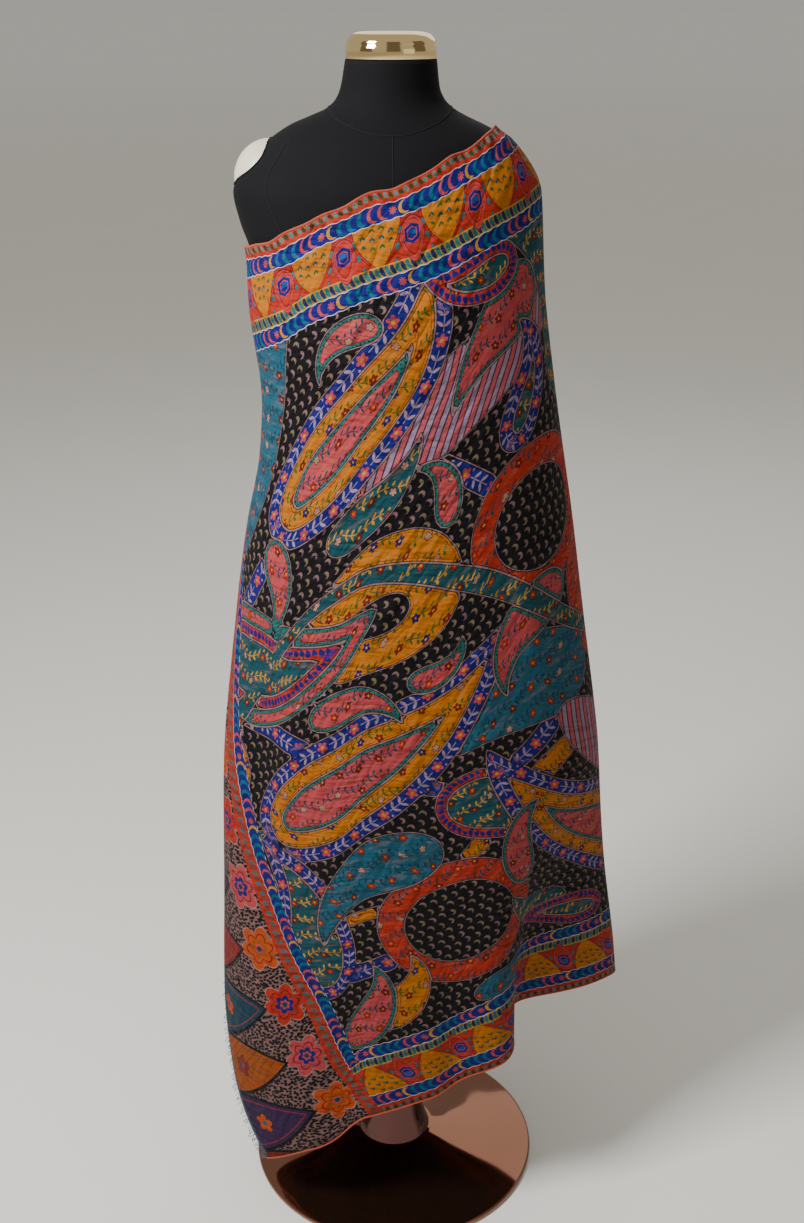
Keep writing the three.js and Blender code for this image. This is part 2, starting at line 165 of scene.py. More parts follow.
# The free end's angle at each share of the way down it.
END_LINE = SizeTable(
    ("share", "angle"),
    ((0, -196), (0.245, -162), (0.465, -133), (0.62, -112), (0.72, -98), (0.82, -82), (0.91, -71), (1, -55)),
)
CLOTH_WIDTH = 1030.0
CLOTH_GAP = 1.8
LAP_LIFT = 9.0
TUCK_DEPTH = 42.0
LAP_ABOVE, LAP_BELOW = 60.0, 18.0
CLOTH_BEND = 15.0


@dataclass(frozen=True)
class Fold:
    """A trough down the cloth, which starts, is full and may fade out again at the heights given.

    Its angle runs from high to low, and it reaches so many degrees before and after that.
    """

    high: float
    low: float
    starts: float
    full: float
    fades: Optional[float]
    depth: float
    before: float
    after: float

    def at(self, degrees: Array, z: Array) -> Array:
        """How deep the fold is.

        Args:
            degrees: Angles round the form.
            z: Heights, in millimetres.

        Returns:
            The depth there, in millimetres.
        """
        down = smoothstep(self.starts - z, 0, self.starts - self.full)
        fade = 1.0
        if self.fades is not None:
            fade = 1 - smoothstep(self.full - z, 0, self.full - self.fades)
        middle = mixed(self.high, self.low, down)
        turned = np.mod(degrees - middle + 180, 360) - 180
        across = np.abs(turned) / np.where(turned < 0, self.before, self.after)
        wave = np.cos(np.minimum(across, 1) * math.pi / 2) ** 2
        return self.depth * down * fade * wave


FOLDS = (
    Fold(73, 75, 640, 205, None, 112, 33, 24),
    Fold(-66, -60, 860, 700, 420, 9, 16, 15),
    Fold(22, 30, 520, 200, None, 9, 14, 13),
    Fold(-14, -22, 420, 160, None, 7, 14, 15),
    Fold(122, 136, 1100, 400, None, 20, 15, 15),
    Fold(140, 172, 1120, 400, None, 30, 16, 17),
    Fold(160, 208, 1100, 400, None, 34, 17, 17),
    Fold(182, 242, 1060, 400, None, 30, 16, 17),
)


@dataclass(frozen=True)
class Crease:
    """A small crease: where it starts and ends on the cloth, its half width and its height."""

    u0: float
    v0: float
    u1: float
    v1: float
    half: float
    height: float

    def over(self, u: Array, v: Array) -> Array:
        """The crease's height over the cloth.

        Args:
            u: Millimetres along the cloth.
            v: Millimetres down the cloth.

        Returns:
            The height there, in millimetres.
        """
        du, dv = self.u1 - self.u0, self.v1 - self.v0
        t = np.clip(((u - self.u0) * du + (v - self.v0) * dv) / (du * du + dv * dv), 0, 1)
        gap = np.hypot(u - self.u0 - t * du, v - self.v0 - t * dv)
        return self.height * np.exp(-((gap / self.half) ** 2)) * np.sin(math.pi * np.clip(t, 0.02, 0.98))


CREASES = (
    Crease(191, 349, 209, 526, 9, 2.6),
    Crease(205, 340, 228, 560, 10, -1.8),
    Crease(250, 307, 214, 460, 11, 1.8),
    Crease(327, 704, 408, 767, 9, 1.7),
    Crease(328, 724, 372, 785, 8, 1.5),
    Crease(300, 690, 460, 742, 10, -1.4),
    Crease(350, 690, 470, 712, 9, 1.3),
    Crease(359, 965, 388, 957, 8, 2.6),
    Crease(410, 940, 470, 1000, 10, 2.2),
    Crease(338, 2, 281, 70, 9, 3.2),
    Crease(352, 0, 330, 46, 10, -2.0),
    Crease(470, 130, 640, 270, 16, 1.8),
    Crease(520, 90, 640, 190, 13, -1.5),
    Crease(300, 120, 420, 250, 14, 1.3),
    Crease(590, 300, 600, 600, 15, 2.2),
    Crease(560, 330, 566, 620, 14, -1.8),
    Crease(240, 560, 330, 500, 12, 1.5),
    Crease(230, 690, 300, 560, 13, -1.4),
    Crease(470, 560, 560, 760, 14, 1.8),
    Crease(430, 600, 500, 820, 14, -1.5),
    Crease(120, 800, 190, 980, 12, 2.0),
    Crease(60, 720, 150, 930, 13, -1.6),
    Crease(250, 860, 360, 940, 13, 1.5),
)


def on_axis(degrees: Array, radius: Array, z: Array) -> Array:
    """Points at an angle, a distance from the form's axis and a height."""
    angle = np.radians(degrees)
    return np.stack([radius * np.sin(angle), -radius * np.cos(angle), z + 0 * angle], -1)


def table_radius(table: SizeTable, degrees: Array, z: Array) -> Array:
    """The radius of a form given by its reach to four sides at each height.

    Args:
        table: The form's table.
        degrees: Angles round it.
        z: Heights, in millimetres.

    Returns:
        The radius there, in millimetres.
    """
    row, angle = table.read(z), np.radians(degrees)
    side = np.where(np.sin(angle) > 0, row["left"], row["right"])
    return oval_radius(angle, side, np.where(np.cos(angle) > 0, row["front"], row["back"]))


def body_radius(degrees: Array, z: Array) -> Array:
    """The dress form's radius, in millimetres."""
    return table_radius(BODY, degrees, z)


def hang_point(degrees: Array, z: Array) -> Array:
    """The surface the shawl hangs on: the form where it touches it, and its own hang elsewhere.

    Args:
        degrees: Angles round the form.
        z: Heights, in millimetres.

    Returns:
        The points there.
    """
    free = table_radius(DRAPE, degrees, z) - sum(fold.at(degrees, z) for fold in FOLDS)
    return on_axis(degrees, soft_max(free, body_radius(degrees, z), CLOTH_BEND), z)


def hang_normal(degrees: Array, z: Array) -> Array:
    """The outward normal of that surface.

    Args:
        degrees: Angles round the form.
        z: Heights, in millimetres.

    Returns:
        Unit normals.
    """
    along = hang_point(degrees + 0.5, z) - hang_point(degrees - 0.5, z)
    up = hang_point(degrees, z + 0.5) - hang_point(degrees, z - 0.5)
    return directions(np.cross(along, up))


def free_end(share: Array) -> Array:
    """Angle of the shawl's free end at a share of its width from the upper edge."""
    return END_LINE.read(share)["angle"]


def lap_angle(share: Array) -> Array:
    """How far the cloth runs on under its own free end."""
    return mixed(LAP_ABOVE, LAP_BELOW, share)


class HeightMap:
    """Heights by angle and by the share of the way, along the cloth, from upper to lower edge."""

    def __init__(self) -> None:
        """Walks down the cloth at every degree."""
        self.angles = np.arange(-216.0, 331.0, 1.0)
        self.shares = np.linspace(0, 1, 161)
        edge = EDGES.read(self.angles)
        steps = np.linspace(0, 1, 141)
        heights = mixed(edge["top"][:, None], edge["bottom"][:, None], steps[None, :])
        points = hang_point(self.angles[:, None] + 0 * heights, heights)
        lengths = np.linalg.norm(np.diff(points, axis=1), axis=-1)
        walked = np.concatenate([np.zeros((len(self.angles), 1)), np.cumsum(lengths, 1)], 1)
        self.heights = np.stack(
            [np.interp(self.shares * w[-1], w, h) for w, h in zip(walked, heights)]
        )

    def at(self, degrees: Array, share: Array) -> Array:
        """Reads the map.

        Args:
            degrees: Angles round the form.
            share: The shares of the way down the cloth.

        Returns:
            The heights there, in millimetres.
        """
        a = np.clip((degrees - self.angles[0]), 0, len(self.angles) - 1.001)
        s = np.clip(share * (len(self.shares) - 1), 0, len(self.shares) - 1.001)
        i, j = a.astype(int), s.astype(int)
        p, q = a - i, s - j
        h = self.heights
        return mixed(mixed(h[i, j], h[i + 1, j], p), mixed(h[i, j + 1], h[i + 1, j + 1], p), q)


# ---- meshes


def new_piece(
    name: str, points: Array, faces: Sequence[Sequence[int]], finish: Material, smooth: bool = True
) -> Object:
    """Makes a mesh piece at the origin from points in millimetres.

    Args:
        name: The piece's name.
        points: Its points, in millimetres.
        faces: Its faces, facing outwards.
        finish: The material it wears.
        smooth: Whether its faces are shaded smooth.

    Returns:
        The new object.
    """
    mesh = bpy.data.meshes.new(name)
    mesh.from_pydata((np.asarray(points) * MM).tolist(), [], faces)
    mesh.polygons.foreach_set("use_smooth", [smooth] * len(mesh.polygons))
    mesh.materials.append(finish)
    mesh.update()
    piece = bpy.data.objects.new(name, mesh)
    bpy.context.scene.collection.objects.link(piece)
    return piece


def set_values(piece: Object, name: str, values: Array) -> None:
    """Stores one number a point on a piece's mesh."""
    attribute = piece.data.attributes.new(name, "FLOAT", "POINT")
    attribute.data.foreach_set("value", np.asarray(values, np.float32).ravel())


def band_faces(rings: int, around: int, start: int = 0) -> list[tuple[int, ...]]:
    """The faces between closed rings of points.

    Args:
        rings: How many rings there are.
        around: How many points each has.
        start: The first ring's first point.

    Returns:
        The faces, ring by ring.
    """
    faces = []
    for first in range(start, start + (rings - 1) * around, around):
        for i in range(around):
            a, b = first + i, first + (i + 1) % around
            faces.append((a, b, b + around, a + around))
    return faces


def turned_piece(
    name: str, profile: Sequence[tuple[float, float]], finish: Material, around: int = 128
) -> Object:
    """Turns a profile about +Z.

    Args:
        name: The piece's name.
        profile: Its (radius, height) from the axis round to the axis.
        finish: The material it wears.
        around: How many sides it has.

    Returns:
        The new object.
    """
    rims = [(r, z) for r, z in profile if r > 0]
    angles = np.linspace(0, 2 * math.pi, around, endpoint=False)
    points = [(r * math.cos(a), r * math.sin(a), z) for r, z in rims for a in angles]
    faces = band_faces(len(rims), around)
    low, high = len(points), len(points) + 1
    points += [(0, 0, profile[0][1]), (0, 0, profile[-1][1])]
    last = (len(rims) - 1) * around
    for i in range(around):
        faces.append((low, (i + 1) % around, i))
        faces.append((high, last + i, last + (i + 1) % around))
    return new_piece(name, np.array(points), faces, finish)


def rounded(points: Sequence[tuple[float, float]], steps: int) -> list[tuple[float, float]]:
    """A smooth curve through points.

    Args:
        points: The points it passes.
        steps: How many steps it takes between each two.

    Returns:
        The curve's points.
    """
    p = np.array([points[0], *points, points[-1]], float)
    curve = []
    for a, b, c, d in zip(p, p[1:], p[2:], p[3:]):
        square, cube = 2 * a - 5 * b + 4 * c - d, 3 * b - a - 3 * c + d
        for t in np.linspace(0, 1, steps, endpoint=False):
            curve.append(tuple(0.5 * (2 * b + (c - a) * t + square * t**2 + cube * t**3)))
    curve.append(tuple(p[-1]))
    return curve


def seat(piece: Object, slot: str, *nodes: str) -> Object:
    """Rides a finished piece on the object's one body.

    Args:
        piece: The piece.
        slot: Not used. Its slot in the record.
        *nodes: The CAD nodes that it stands for.

    Returns:
        The piece.
    """
    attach(piece, "root")
    if nodes:
        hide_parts(*nodes)
    LOG.info("%s: %d faces", piece.name, len(piece.data.polygons))
    return piece


# ---- material arithmetic


class Dye(Enum):
    """The print's dyes, as linear colours, and whether a large motif can be filled with one."""

    MUSTARD = ((0.37, 0.111, 0.0025), True)
    CORAL = ((0.318, 0.019, 0.0084), True)
    TEAL = ((0.005, 0.05, 0.065), True)
    SKY = ((0.011, 0.072, 0.113), True)
    ROSE = ((0.335, 0.043, 0.049), True)
    ROYAL = ((0.0052, 0.0066, 0.118), True)
    STRIPE = ((0.353, 0.066, 0.071), True)
    INK = ((0.0043, 0.0033, 0.005), False)
    BRICK = ((0.146, 0.0066, 0.0059), False)
    BUTTER = ((0.396, 0.189, 0.0126), False)
    LAGOON = ((0.0034, 0.082, 0.134), False)
    LEAF = ((0.0215, 0.074, 0.0126), False)
    BLUSH = ((0.284, 0.148, 0.13), False)
    TANGERINE = ((0.361, 0.053, 0.0067), False)
    AMBER = ((0.249, 0.053, 0.0034), False)
    PLUM = ((0.03, 0.01, 0.05), False)
    WINE = ((0.172, 0.01, 0.01), False)
    PETROL = ((0.0043, 0.033, 0.055), False)
    SLATE = ((0.043, 0.082, 0.109), False)
    LILAC = ((0.232, 0.156, 0.218), False)
    JADE = ((0.013, 0.1, 0.092), False)
    MARINE = ((0.016, 0.11, 0.125), False)
    COBALT = ((0.006, 0.055, 0.2), False)
    NIGHT = ((0.008, 0.012, 0.06), False)
    MIST = ((0.065, 0.12, 0.115), False)
    LICHEN = ((0.05, 0.085, 0.08), False)
    MOSS = ((0.03, 0.035, 0.008), False)
    RUST = ((0.16, 0.03, 0.02), False)
    STRAW = ((0.22, 0.13, 0.015), False)
    GILT = ((0.36, 0.22, 0.03), False)
    APRICOT = ((0.43, 0.19, 0.09), False)
    MAUVE = ((0.15, 0.08, 0.09), False)
    OCHRE = ((0.13, 0.095, 0.05), False)
    DUSK = ((0.165, 0.085, 0.078), False)
    OUTLINE = ((0.2, 0.115, 0.12), False)
    THREAD = ((0.42, 0.36, 0.37), False)
    REVERSE = ((0.09, 0.055, 0.055), False)

    @property
    def colour(self) -> Colour:
        """The dye as a linear colour."""
        return self.value[0]

    @property
    def layer(self) -> str:
        """The name of the stored number that says how far a point is from this dye's edge."""
        return "edge_" + self.name.lower()


FILLS = tuple(dye for dye in Dye if dye.value[1])
# The fills that leaves and flowers grow on.
GROWN = (Dye.MUSTARD, Dye.CORAL, Dye.TEAL, Dye.SKY, Dye.ROSE)


def new_material(name: str) -> tuple[Material, "Chart", NodeInputs]:
    """Starts a material.

    Args:
        name: Its name.

    Returns:
        The material, the chart to draw it with and its shader's inputs.
    """
    material = bpy.data.materials.new(name)
    material.use_nodes = True
    return material, Chart(material.node_tree), material.node_tree.nodes["Principled BSDF"].inputs


class Reading:
    """A number that a material works out over the surface, usable in plain arithmetic."""

    def __init__(self, chart: "Chart", socket: NodeSocket) -> None:
        """Keeps the chart it is drawn on and the socket it comes out of."""
        self.chart, self.socket = chart, socket

    def __add__(self, other: "Number") -> "Reading":
        """Sum."""
        return self.chart.math("ADD", self, other)

    def __radd__(self, other: "Number") -> "Reading":
        """Sum with a number."""
        return self.chart.math("ADD", other, self)

    def __sub__(self, other: "Number") -> "Reading":
        """Difference."""
        return self.chart.math("SUBTRACT", self, other)

    def __rsub__(self, other: "Number") -> "Reading":
        """Difference from a number."""
        return self.chart.math("SUBTRACT", other, self)

    def __mul__(self, other: "Number") -> "Reading":
        """Product."""
        return self.chart.math("MULTIPLY", self, other)

    def __rmul__(self, other: "Number") -> "Reading":
        """Product with a number."""
        return self.chart.math("MULTIPLY", other, self)

    def __truediv__(self, other: "Number") -> "Reading":
        """Quotient."""
        return self.chart.math("DIVIDE", self, other)

    def __lt__(self, other: "Number") -> "Reading":
        """1 where it is less, else 0."""
        return self.chart.math("LESS_THAN", self, other)

    def __gt__(self, other: "Number") -> "Reading":
        """1 where it is greater, else 0."""
        return self.chart.math("GREATER_THAN", self, other)

    def __abs__(self) -> "Reading":
        """Absolute value."""
        return self.chart.math("ABSOLUTE", self)

    def floor(self) -> "Reading":
        """The whole number below."""
        return self.chart.math("FLOOR", self)

    def wrap(self, period: float) -> "Reading":
        """The rest after whole periods, never negative."""
        return self.chart.math("FLOORED_MODULO", self, period)

    def cos(self) -> "Reading":
        """Cosine of an angle in radians."""
        return self.chart.math("COSINE", self)

    def within(self, half: "Number") -> "Reading":
        """1 where its size is less than half a width, else 0."""
        return abs(self) < half


Number = Union[Reading, float, int]
Shade = Union[Reading, Colour, Dye]
Readings = dict[str, Reading]


class Chart:
    """Draws a node tree from formulas."""

    def __init__(self, tree: NodeTree) -> None:
        """Keeps the tree that the nodes go into."""
        self.tree = tree

    def node(self, kind: str, **settings: object) -> Node:
        """Adds a node.

        Args:
            kind: Its type.
            **settings: Its properties.

        Returns:
            The node.
        """
        made = self.tree.nodes.new(kind)
        for name, value in settings.items():
            setattr(made, name, value)
        return made

    def put(self, socket: NodeSocket, value: object) -> None:
        """Links a reading to a socket, or sets a plain value on it.

        Args:
            socket: The input socket.
            value: A reading, a dye, a colour or another value.
        """
        if isinstance(value, Dye):
            value = value.colour
        if isinstance(value, Reading):
            self.tree.links.new(value.socket, socket)
        elif isinstance(value, tuple) and len(socket.default_value) == 4:
            socket.default_value = (*value, 1)
        else:
            socket.default_value = value

    def math(self, operation: str, *values: Number) -> Reading:
        """One step of arithmetic.

        Args:
            operation: The Math node's operation.
            *values: What it works on.

        Returns:
            The result.
        """
        made = self.node("ShaderNodeMath", operation=operation)
        for socket, value in zip(made.inputs, values):
            self.put(socket, value)
        return Reading(self, made.outputs[0])

    def least(self, *values: Reading) -> Reading:
        """The least of several readings.

        Args:
            *values: The readings.

        Returns:
            The least at each place.
        """
        found = values[0]
        for value in values[1:]:
            found = self.math("MINIMUM", found, value)
        return found

    def most(self, *values: Reading) -> Reading:
        """The greatest of several readings, or the union of several masks.

        Args:
            *values: The readings.

        Returns:
            The greatest at each place.
        """
        found = values[0]
        for value in values[1:]:
            found = self.math("MAXIMUM", found, value)
        return found

    def length(self, x: Number, y: Number) -> Reading:
        """Distance of (x, y) from zero."""
        return self.math("SQRT", self.math("ADD", self.math("MULTIPLY", x, x), self.math("MULTIPLY", y, y)))

    def angle(self, x: Reading, y: Reading) -> Reading:
        """Direction of (x, y) in radians."""
        return self.math("ARCTAN2", y, x)

    def paint(self, under: Shade, over: Shade, mask: Number) -> Reading:
        """One colour over another.

        Args:
            under: The colour below.
            over: The colour above.
            mask: How much of the upper one shows.

        Returns:
            The colour that shows.
        """
        made = self.node("ShaderNodeMix", data_type="RGBA")
        self.put(made.inputs[0], mask)
        self.put(made.inputs[6], under)
        self.put(made.inputs[7], over)
        return Reading(self, made.outputs[2])

    def layers(self, under: Shade, *above: tuple[Shade, Number]) -> Shade:
        """Colours laid over one another.

        Args:
            under: The lowest colour.
            *above: Each further colour, and its mask.

        Returns:
            The colour that shows.
        """
        for over, mask in above:
            under = self.paint(under, over, mask)
        return under

    def choose(self, a: Number, b: Number, mask: Number) -> Reading:
        """One number or another.

        Args:
            a: The number where the mask is 0.
            b: The number where it is 1.
            mask: The mask.

        Returns:
            The number chosen.
        """
        made = self.node("ShaderNodeMix", data_type="FLOAT")
        self.put(made.inputs[0], mask)
        self.put(made.inputs[2], a)
        self.put(made.inputs[3], b)
        return Reading(self, made.outputs[0])

    def stored(self, name: str) -> Reading:
        """A number stored on the mesh."""
        return Reading(self, self.node("ShaderNodeAttribute", attribute_name=name).outputs["Fac"])

    def cloth_place(self) -> tuple[Reading, Reading]:
        """The place on the cloth.

        Returns:
            Millimetres along it from its free end, and down it from its upper edge.
        """
        place = self.node("ShaderNodeUVMap", uv_map="cloth")
        parts = self.node("ShaderNodeSeparateXYZ")
        self.put(parts.inputs[0], Reading(self, place.outputs[0]))
        return Reading(self, parts.outputs[0]) * 1000, Reading(self, parts.outputs[1]) * 1000

    def object_place(self) -> Reading:
        """The point on the piece, in metres."""
        return Reading(self, self.node("ShaderNodeTexCoord").outputs["Object"])

    def far(self, place: Reading, low: float, high: float) -> Reading:
        """Rises smoothly from 0 to 1 away from the origin.

        Args:
            place: The place.
            low: The distance where it starts to rise.
            high: The distance where it is 1.

        Returns:
            The rise.
        """
        size = self.node("ShaderNodeVectorMath", operation="LENGTH")
        self.put(size.inputs[0], place)
        span = self.node("ShaderNodeMapRange", interpolation_type="SMOOTHSTEP")
        self.put(span.inputs["Value"], Reading(self, size.outputs["Value"]))
        span.inputs["From Min"].default_value, span.inputs["From Max"].default_value = low, high
        return Reading(self, span.outputs["Result"])

    def noise(self, place: Reading, scale: float, detail: float = 2, rough: float = 0.5) -> Reading:
        """Soft noise.

        Args:
            place: Where it is read.
            scale: How fine it is.
            detail: How many finer layers it has.
            rough: How strong they are.

        Returns:
            The noise, from 0 to 1.
        """
        made = self.node("ShaderNodeTexNoise")
        self.put(made.inputs["Vector"], place)
        made.inputs["Scale"].default_value = scale
        made.inputs["Detail"].default_value = detail
        made.inputs["Roughness"].default_value = rough
        return Reading(self, made.outputs["Fac"])

    def point(self, x: Number, y: Number, z: Number = 0.0) -> Reading:
        """A place from its three parts.

        Args:
            x: The first.
            y: The second.
            z: The third.

        Returns:
            The place.
        """
        made = self.node("ShaderNodeCombineXYZ")
        for socket, value in zip(made.inputs, (x, y, z)):
            self.put(socket, value)
        return Reading(self, made.outputs[0])

    def bump(
        self, height: Reading, strength: float, depth: float, under: Optional[Reading] = None
    ) -> Reading:
        """A fine relief on the surface.

        Args:
            height: Its height.
            strength: How strongly it shows, from 0 to 1.
            depth: Its depth in metres.
            under: A coarser relief that it lies on.

        Returns:
            The normal.
        """
        made = self.node("ShaderNodeBump")
        made.inputs["Strength"].default_value = strength
        made.inputs["Distance"].default_value = depth
        self.put(made.inputs["Height"], height)
        if under is not None:
            self.put(made.inputs["Normal"], under)
        return Reading(self, made.outputs[0])

    def call(self, effect: "Effect", **values: object) -> Readings:
        """Places an effect.

        Args:
            effect: The effect.
            **values: Its inputs by name.

        Returns:
            Its outputs by name.
        """
        made = self.node("ShaderNodeGroup", node_tree=effect.tree())
        for name, value in values.items():
            self.put(made.inputs[name], value)
        return {socket.name: Reading(self, socket) for socket in made.outputs}


# ---- effects


@dataclass
class Effect:
    """A node group that several materials can place, built when the first one does."""

    name: str
    gives: Sequence[str]
    takes: dict[str, float]
    draw: Callable[..., Readings]
    built: Optional[NodeTree] = None

    def tree(self) -> NodeTree:
        """Finds the group, or builds it.

        Returns:
            The group's tree.
        """
        if self.built is None:
            self.built = tree = bpy.data.node_groups.new(self.name, "ShaderNodeTree")
            for label, value in self.takes.items():
                made = tree.interface.new_socket(name=label, in_out="INPUT", socket_type="NodeSocketFloat")
                made.default_value = value
            for label in self.gives:
                kind = "NodeSocketColor" if label == "Colour" else "NodeSocketFloat"
                tree.interface.new_socket(name=label, in_out="OUTPUT", socket_type=kind)
            c = Chart(tree)
            into, out = c.node("NodeGroupInput"), c.node("NodeGroupOutput")
            results = self.draw(c, {label: Reading(c, into.outputs[label]) for label in self.takes})
            for label, value in results.items():
                c.put(out.inputs[label], value)
        return self.built


def effect(name: str, gives: str, **takes: float) -> Callable[[Callable[..., Readings]], Effect]:
    """Makes an effect of the function under it, which draws the group's inside.

    Args:
        name: The group's name.
        gives: Its outputs' names; the one named Colour is a colour.
        **takes: Its inputs' names and values.

    Returns:
        The decorator.
    """
    return lambda draw: Effect(name, gives.split(), takes, draw)


@effect("crescent row", "Colour", Run=0, Across=0)
def crescent_row(c: Chart, i: Readings) -> Readings:
    """The royal-blue strip: crescents in yellow, teal and pink, then a star, every 75 mm.

    Args:
        c: The group's chart.
        i: Run along the strip and Across it, in millimetres.

    Returns:
        Colour.
    """
    pitch = 10.7
    run, across = i["Run"], i["Across"]
    step = (run / pitch).floor()
    kind = step.wrap(7)
    x = run - step * pitch - pitch / 2
    broad = (kind > 0.5) * (kind < 3.5)
    moon = (c.length(x - 1.5, across) < 6.6) * (c.length(x - 4.3 - broad * 0.9, across + 0.7) > 6)
    star = c.length(x, across) < abs((c.angle(x, across) * 4).cos()) * 2.5 + 1.7
    is_star = kind > 5.5
    colour = c.paint(Dye.BUTTER, Dye.LAGOON, kind > 0.5)
    colour = c.paint(colour, Dye.ROSE, kind > 3.5)
    return {"Colour": c.paint(Dye.ROYAL, colour, c.choose(moon, star, is_star))}


@effect("leaf ticks", "Leaf Turn", Run=0, Across=0, Half=5, Pitch=5.6)
def leaf_ticks(c: Chart, i: Readings) -> Readings:
    """A row of curved leaves.

    Args:
        c: The group's chart.
        i: Run and Across, and the leaves' Half height and Pitch.

    Returns:
        The mask Leaf, and Turn, 0 or 1 from leaf to leaf.
    """
    tall = i["Across"] / i["Half"]
    shear = (i["Run"] - (tall * 0.28 + tall * tall * 0.24) * i["Half"]) / i["Pitch"]
    step = shear.floor()
    x = shear - step - 0.5
    leaf = abs(x) < (1 - tall * tall) * 0.43
    return {"Leaf": leaf, "Turn": step.wrap(2)}


@effect("lotus band", "Colour Over", Run=0, Across=0)
def lotus_band(c: Chart, i: Readings) -> Readings:
    """The broad band: coral lotuses with flaring sepals on mustard, every 71 mm.

    Args:
        c: The group's chart.
        i: Run along the band, and Across from its outer side to 40 mm at its inner.

    Returns:
        Colour, and Over where a bud covers what lies beside the band.
    """
    pitch = 71
    y = i["Across"]
    spread = abs(i["Run"].wrap(pitch) - pitch / 2)
    side = pitch / 2 - spread
    sx, sy = side.wrap(9.6) - 4.8, (y + (side / 9.6).floor() * 4).wrap(8.8) - 4.4
    sprig = (abs(sx) - 1.3 - sy * 0.5).within((sy * sy) * -0.22 + 1.3) * sy.within(2.3)
    garden = (side < 21 - y * 0.3) * (y > 3) * (y < 29)
    flare = spread - 10 - y * 0.1 - y * y * 0.0105
    spot = c.length((spread - 8.6 - y * 0.27) / 1.7, ((y - 5).wrap(14) - 7) / 3.6)
    low = c.math("MAXIMUM", y - 24, 0.0)
    bud = c.length(spread * (low * 0.028 + 1) / 12.5, (y - 24) / 21)
    heart = c.most(spread / 7.6, abs(y - 19) / 9.8 + spread / 19)
    green = c.paint(Dye.LEAF, Dye.TEAL, (y / 8.8).floor().wrap(2))
    colour = c.layers(
        Dye.MUSTARD,
        (green, sprig * garden),
        (Dye.BRICK, flare < 0.9),
        (Dye.CORAL, flare < -0.2),
        (Dye.BRICK, (flare + 2.2).within(0.4)),
        (Dye.BRICK, spot < 1.3),
        (Dye.MARINE, spot < 1),
        (Dye.BRICK, bud < 1.06),
        (Dye.ROSE, bud < 1),
        (Dye.CORAL, bud < 0.93),
        (Dye.ROSE, (bud - 0.8).within(0.028)),
        (Dye.BRICK, (bud - 0.69).within(0.03)),
        (Dye.ROSE, heart < 1.1),
        (Dye.ROYAL, heart < 0.98),
        (Dye.ROSE, heart < 0.66),
        (Dye.ROYAL, heart < 0.54),
        (Dye.COBALT, (heart < 0.46) * (y < 20)),
    )
    return {"Colour": colour, "Over": bud < 1.06}


@effect("flora", "Leaves Rims Petals Hearts Pick", U=0, V=0, Size=30)
def flora(c: Chart, i: Readings) -> Readings:
    """Winding stems with paired leaves, and five-petalled flowers between them.

    Args:
        c: The group's chart.
        i: U and V, in millimetres, and the Size of one repeat.

    Returns:
        Masks of stems and leaves, of rims, petals and hearts, and a random Pick for each flower.
    """
    size = i["Size"]
    u, v = i["U"] / size, i["V"] / size
    wave = v + (u * 3.1).cos() * 0.16 + (u * 1.27 + 1).cos() * 0.1
    row = wave.floor()
    y = wave - row - 0.5
    shifted = u + row * 0.37
    stem = abs(y) < 0.022
    leaf_step = shifted.wrap(0.31) - 0.155
    slant = leaf_step - abs(y) * 0.5 + 0.06
    room = (abs(y) - 0.13) / 0.12
    leaves = abs(slant) < (1 - room * room) * 0.055
    column = shifted.floor()
    noise = c.node("ShaderNodeTexWhiteNoise", noise_dimensions="3D")
    c.put(noise.inputs["Vector"], c.point(column, row, 4.0))
    pick = Reading(c, noise.outputs["Value"])
    fx = shifted - column - 0.5 + (pick - 0.5) * 0.4
    fy = y - 0.24 + (pick * 7).wrap(1) * 0.1
    reach = c.length(fx, fy)
    petals = abs((c.angle(fx, fy) * 2.5 + pick * 6).cos())
    near = reach < 0.27
    return {
        "Leaves": c.most(stem, leaves) * (1 - near),
        "Rims": reach < petals * 0.085 + 0.12,
        "Petals": reach < petals * 0.08 + 0.09,
        "Hearts": reach < 0.05,
        "Pick": pick,
    }


@effect("garland", "Leaves Flowers Hearts", Run=0, Across=0)
def garland(c: Chart, i: Readings) -> Readings:
    """Paired leaves on a stem along a band, with a flower after every third pair.

    Args:
        c: The group's chart.
        i: Run along the band and Across it, in millimetres.

    Returns:
        Masks of leaves, flowers and their hearts.
    """
    pitch = 11
    step = (i["Run"] / pitch).floor()
    x = i["Run"] - step * pitch - pitch / 2
    y = abs(i["Across"])
    slant = (x + 2.5 - y * 0.62) * 0.8
    room = (y - 4.2) / 4.4
    leaf = abs(slant) < (1 - room * room) * 1.7
    flower_x = i["Run"].wrap(4 * pitch) - 2 * pitch
    reach = c.length(flower_x, i["Across"])
    petals = reach < abs((c.angle(flower_x, i["Across"]) * 2.5).cos()) * 3.4 + 3.6
    leaves = c.most(leaf, y < 0.5) * (1 - (reach < 9))
    return {"Leaves": leaves, "Flowers": petals, "Hearts": reach < 2}


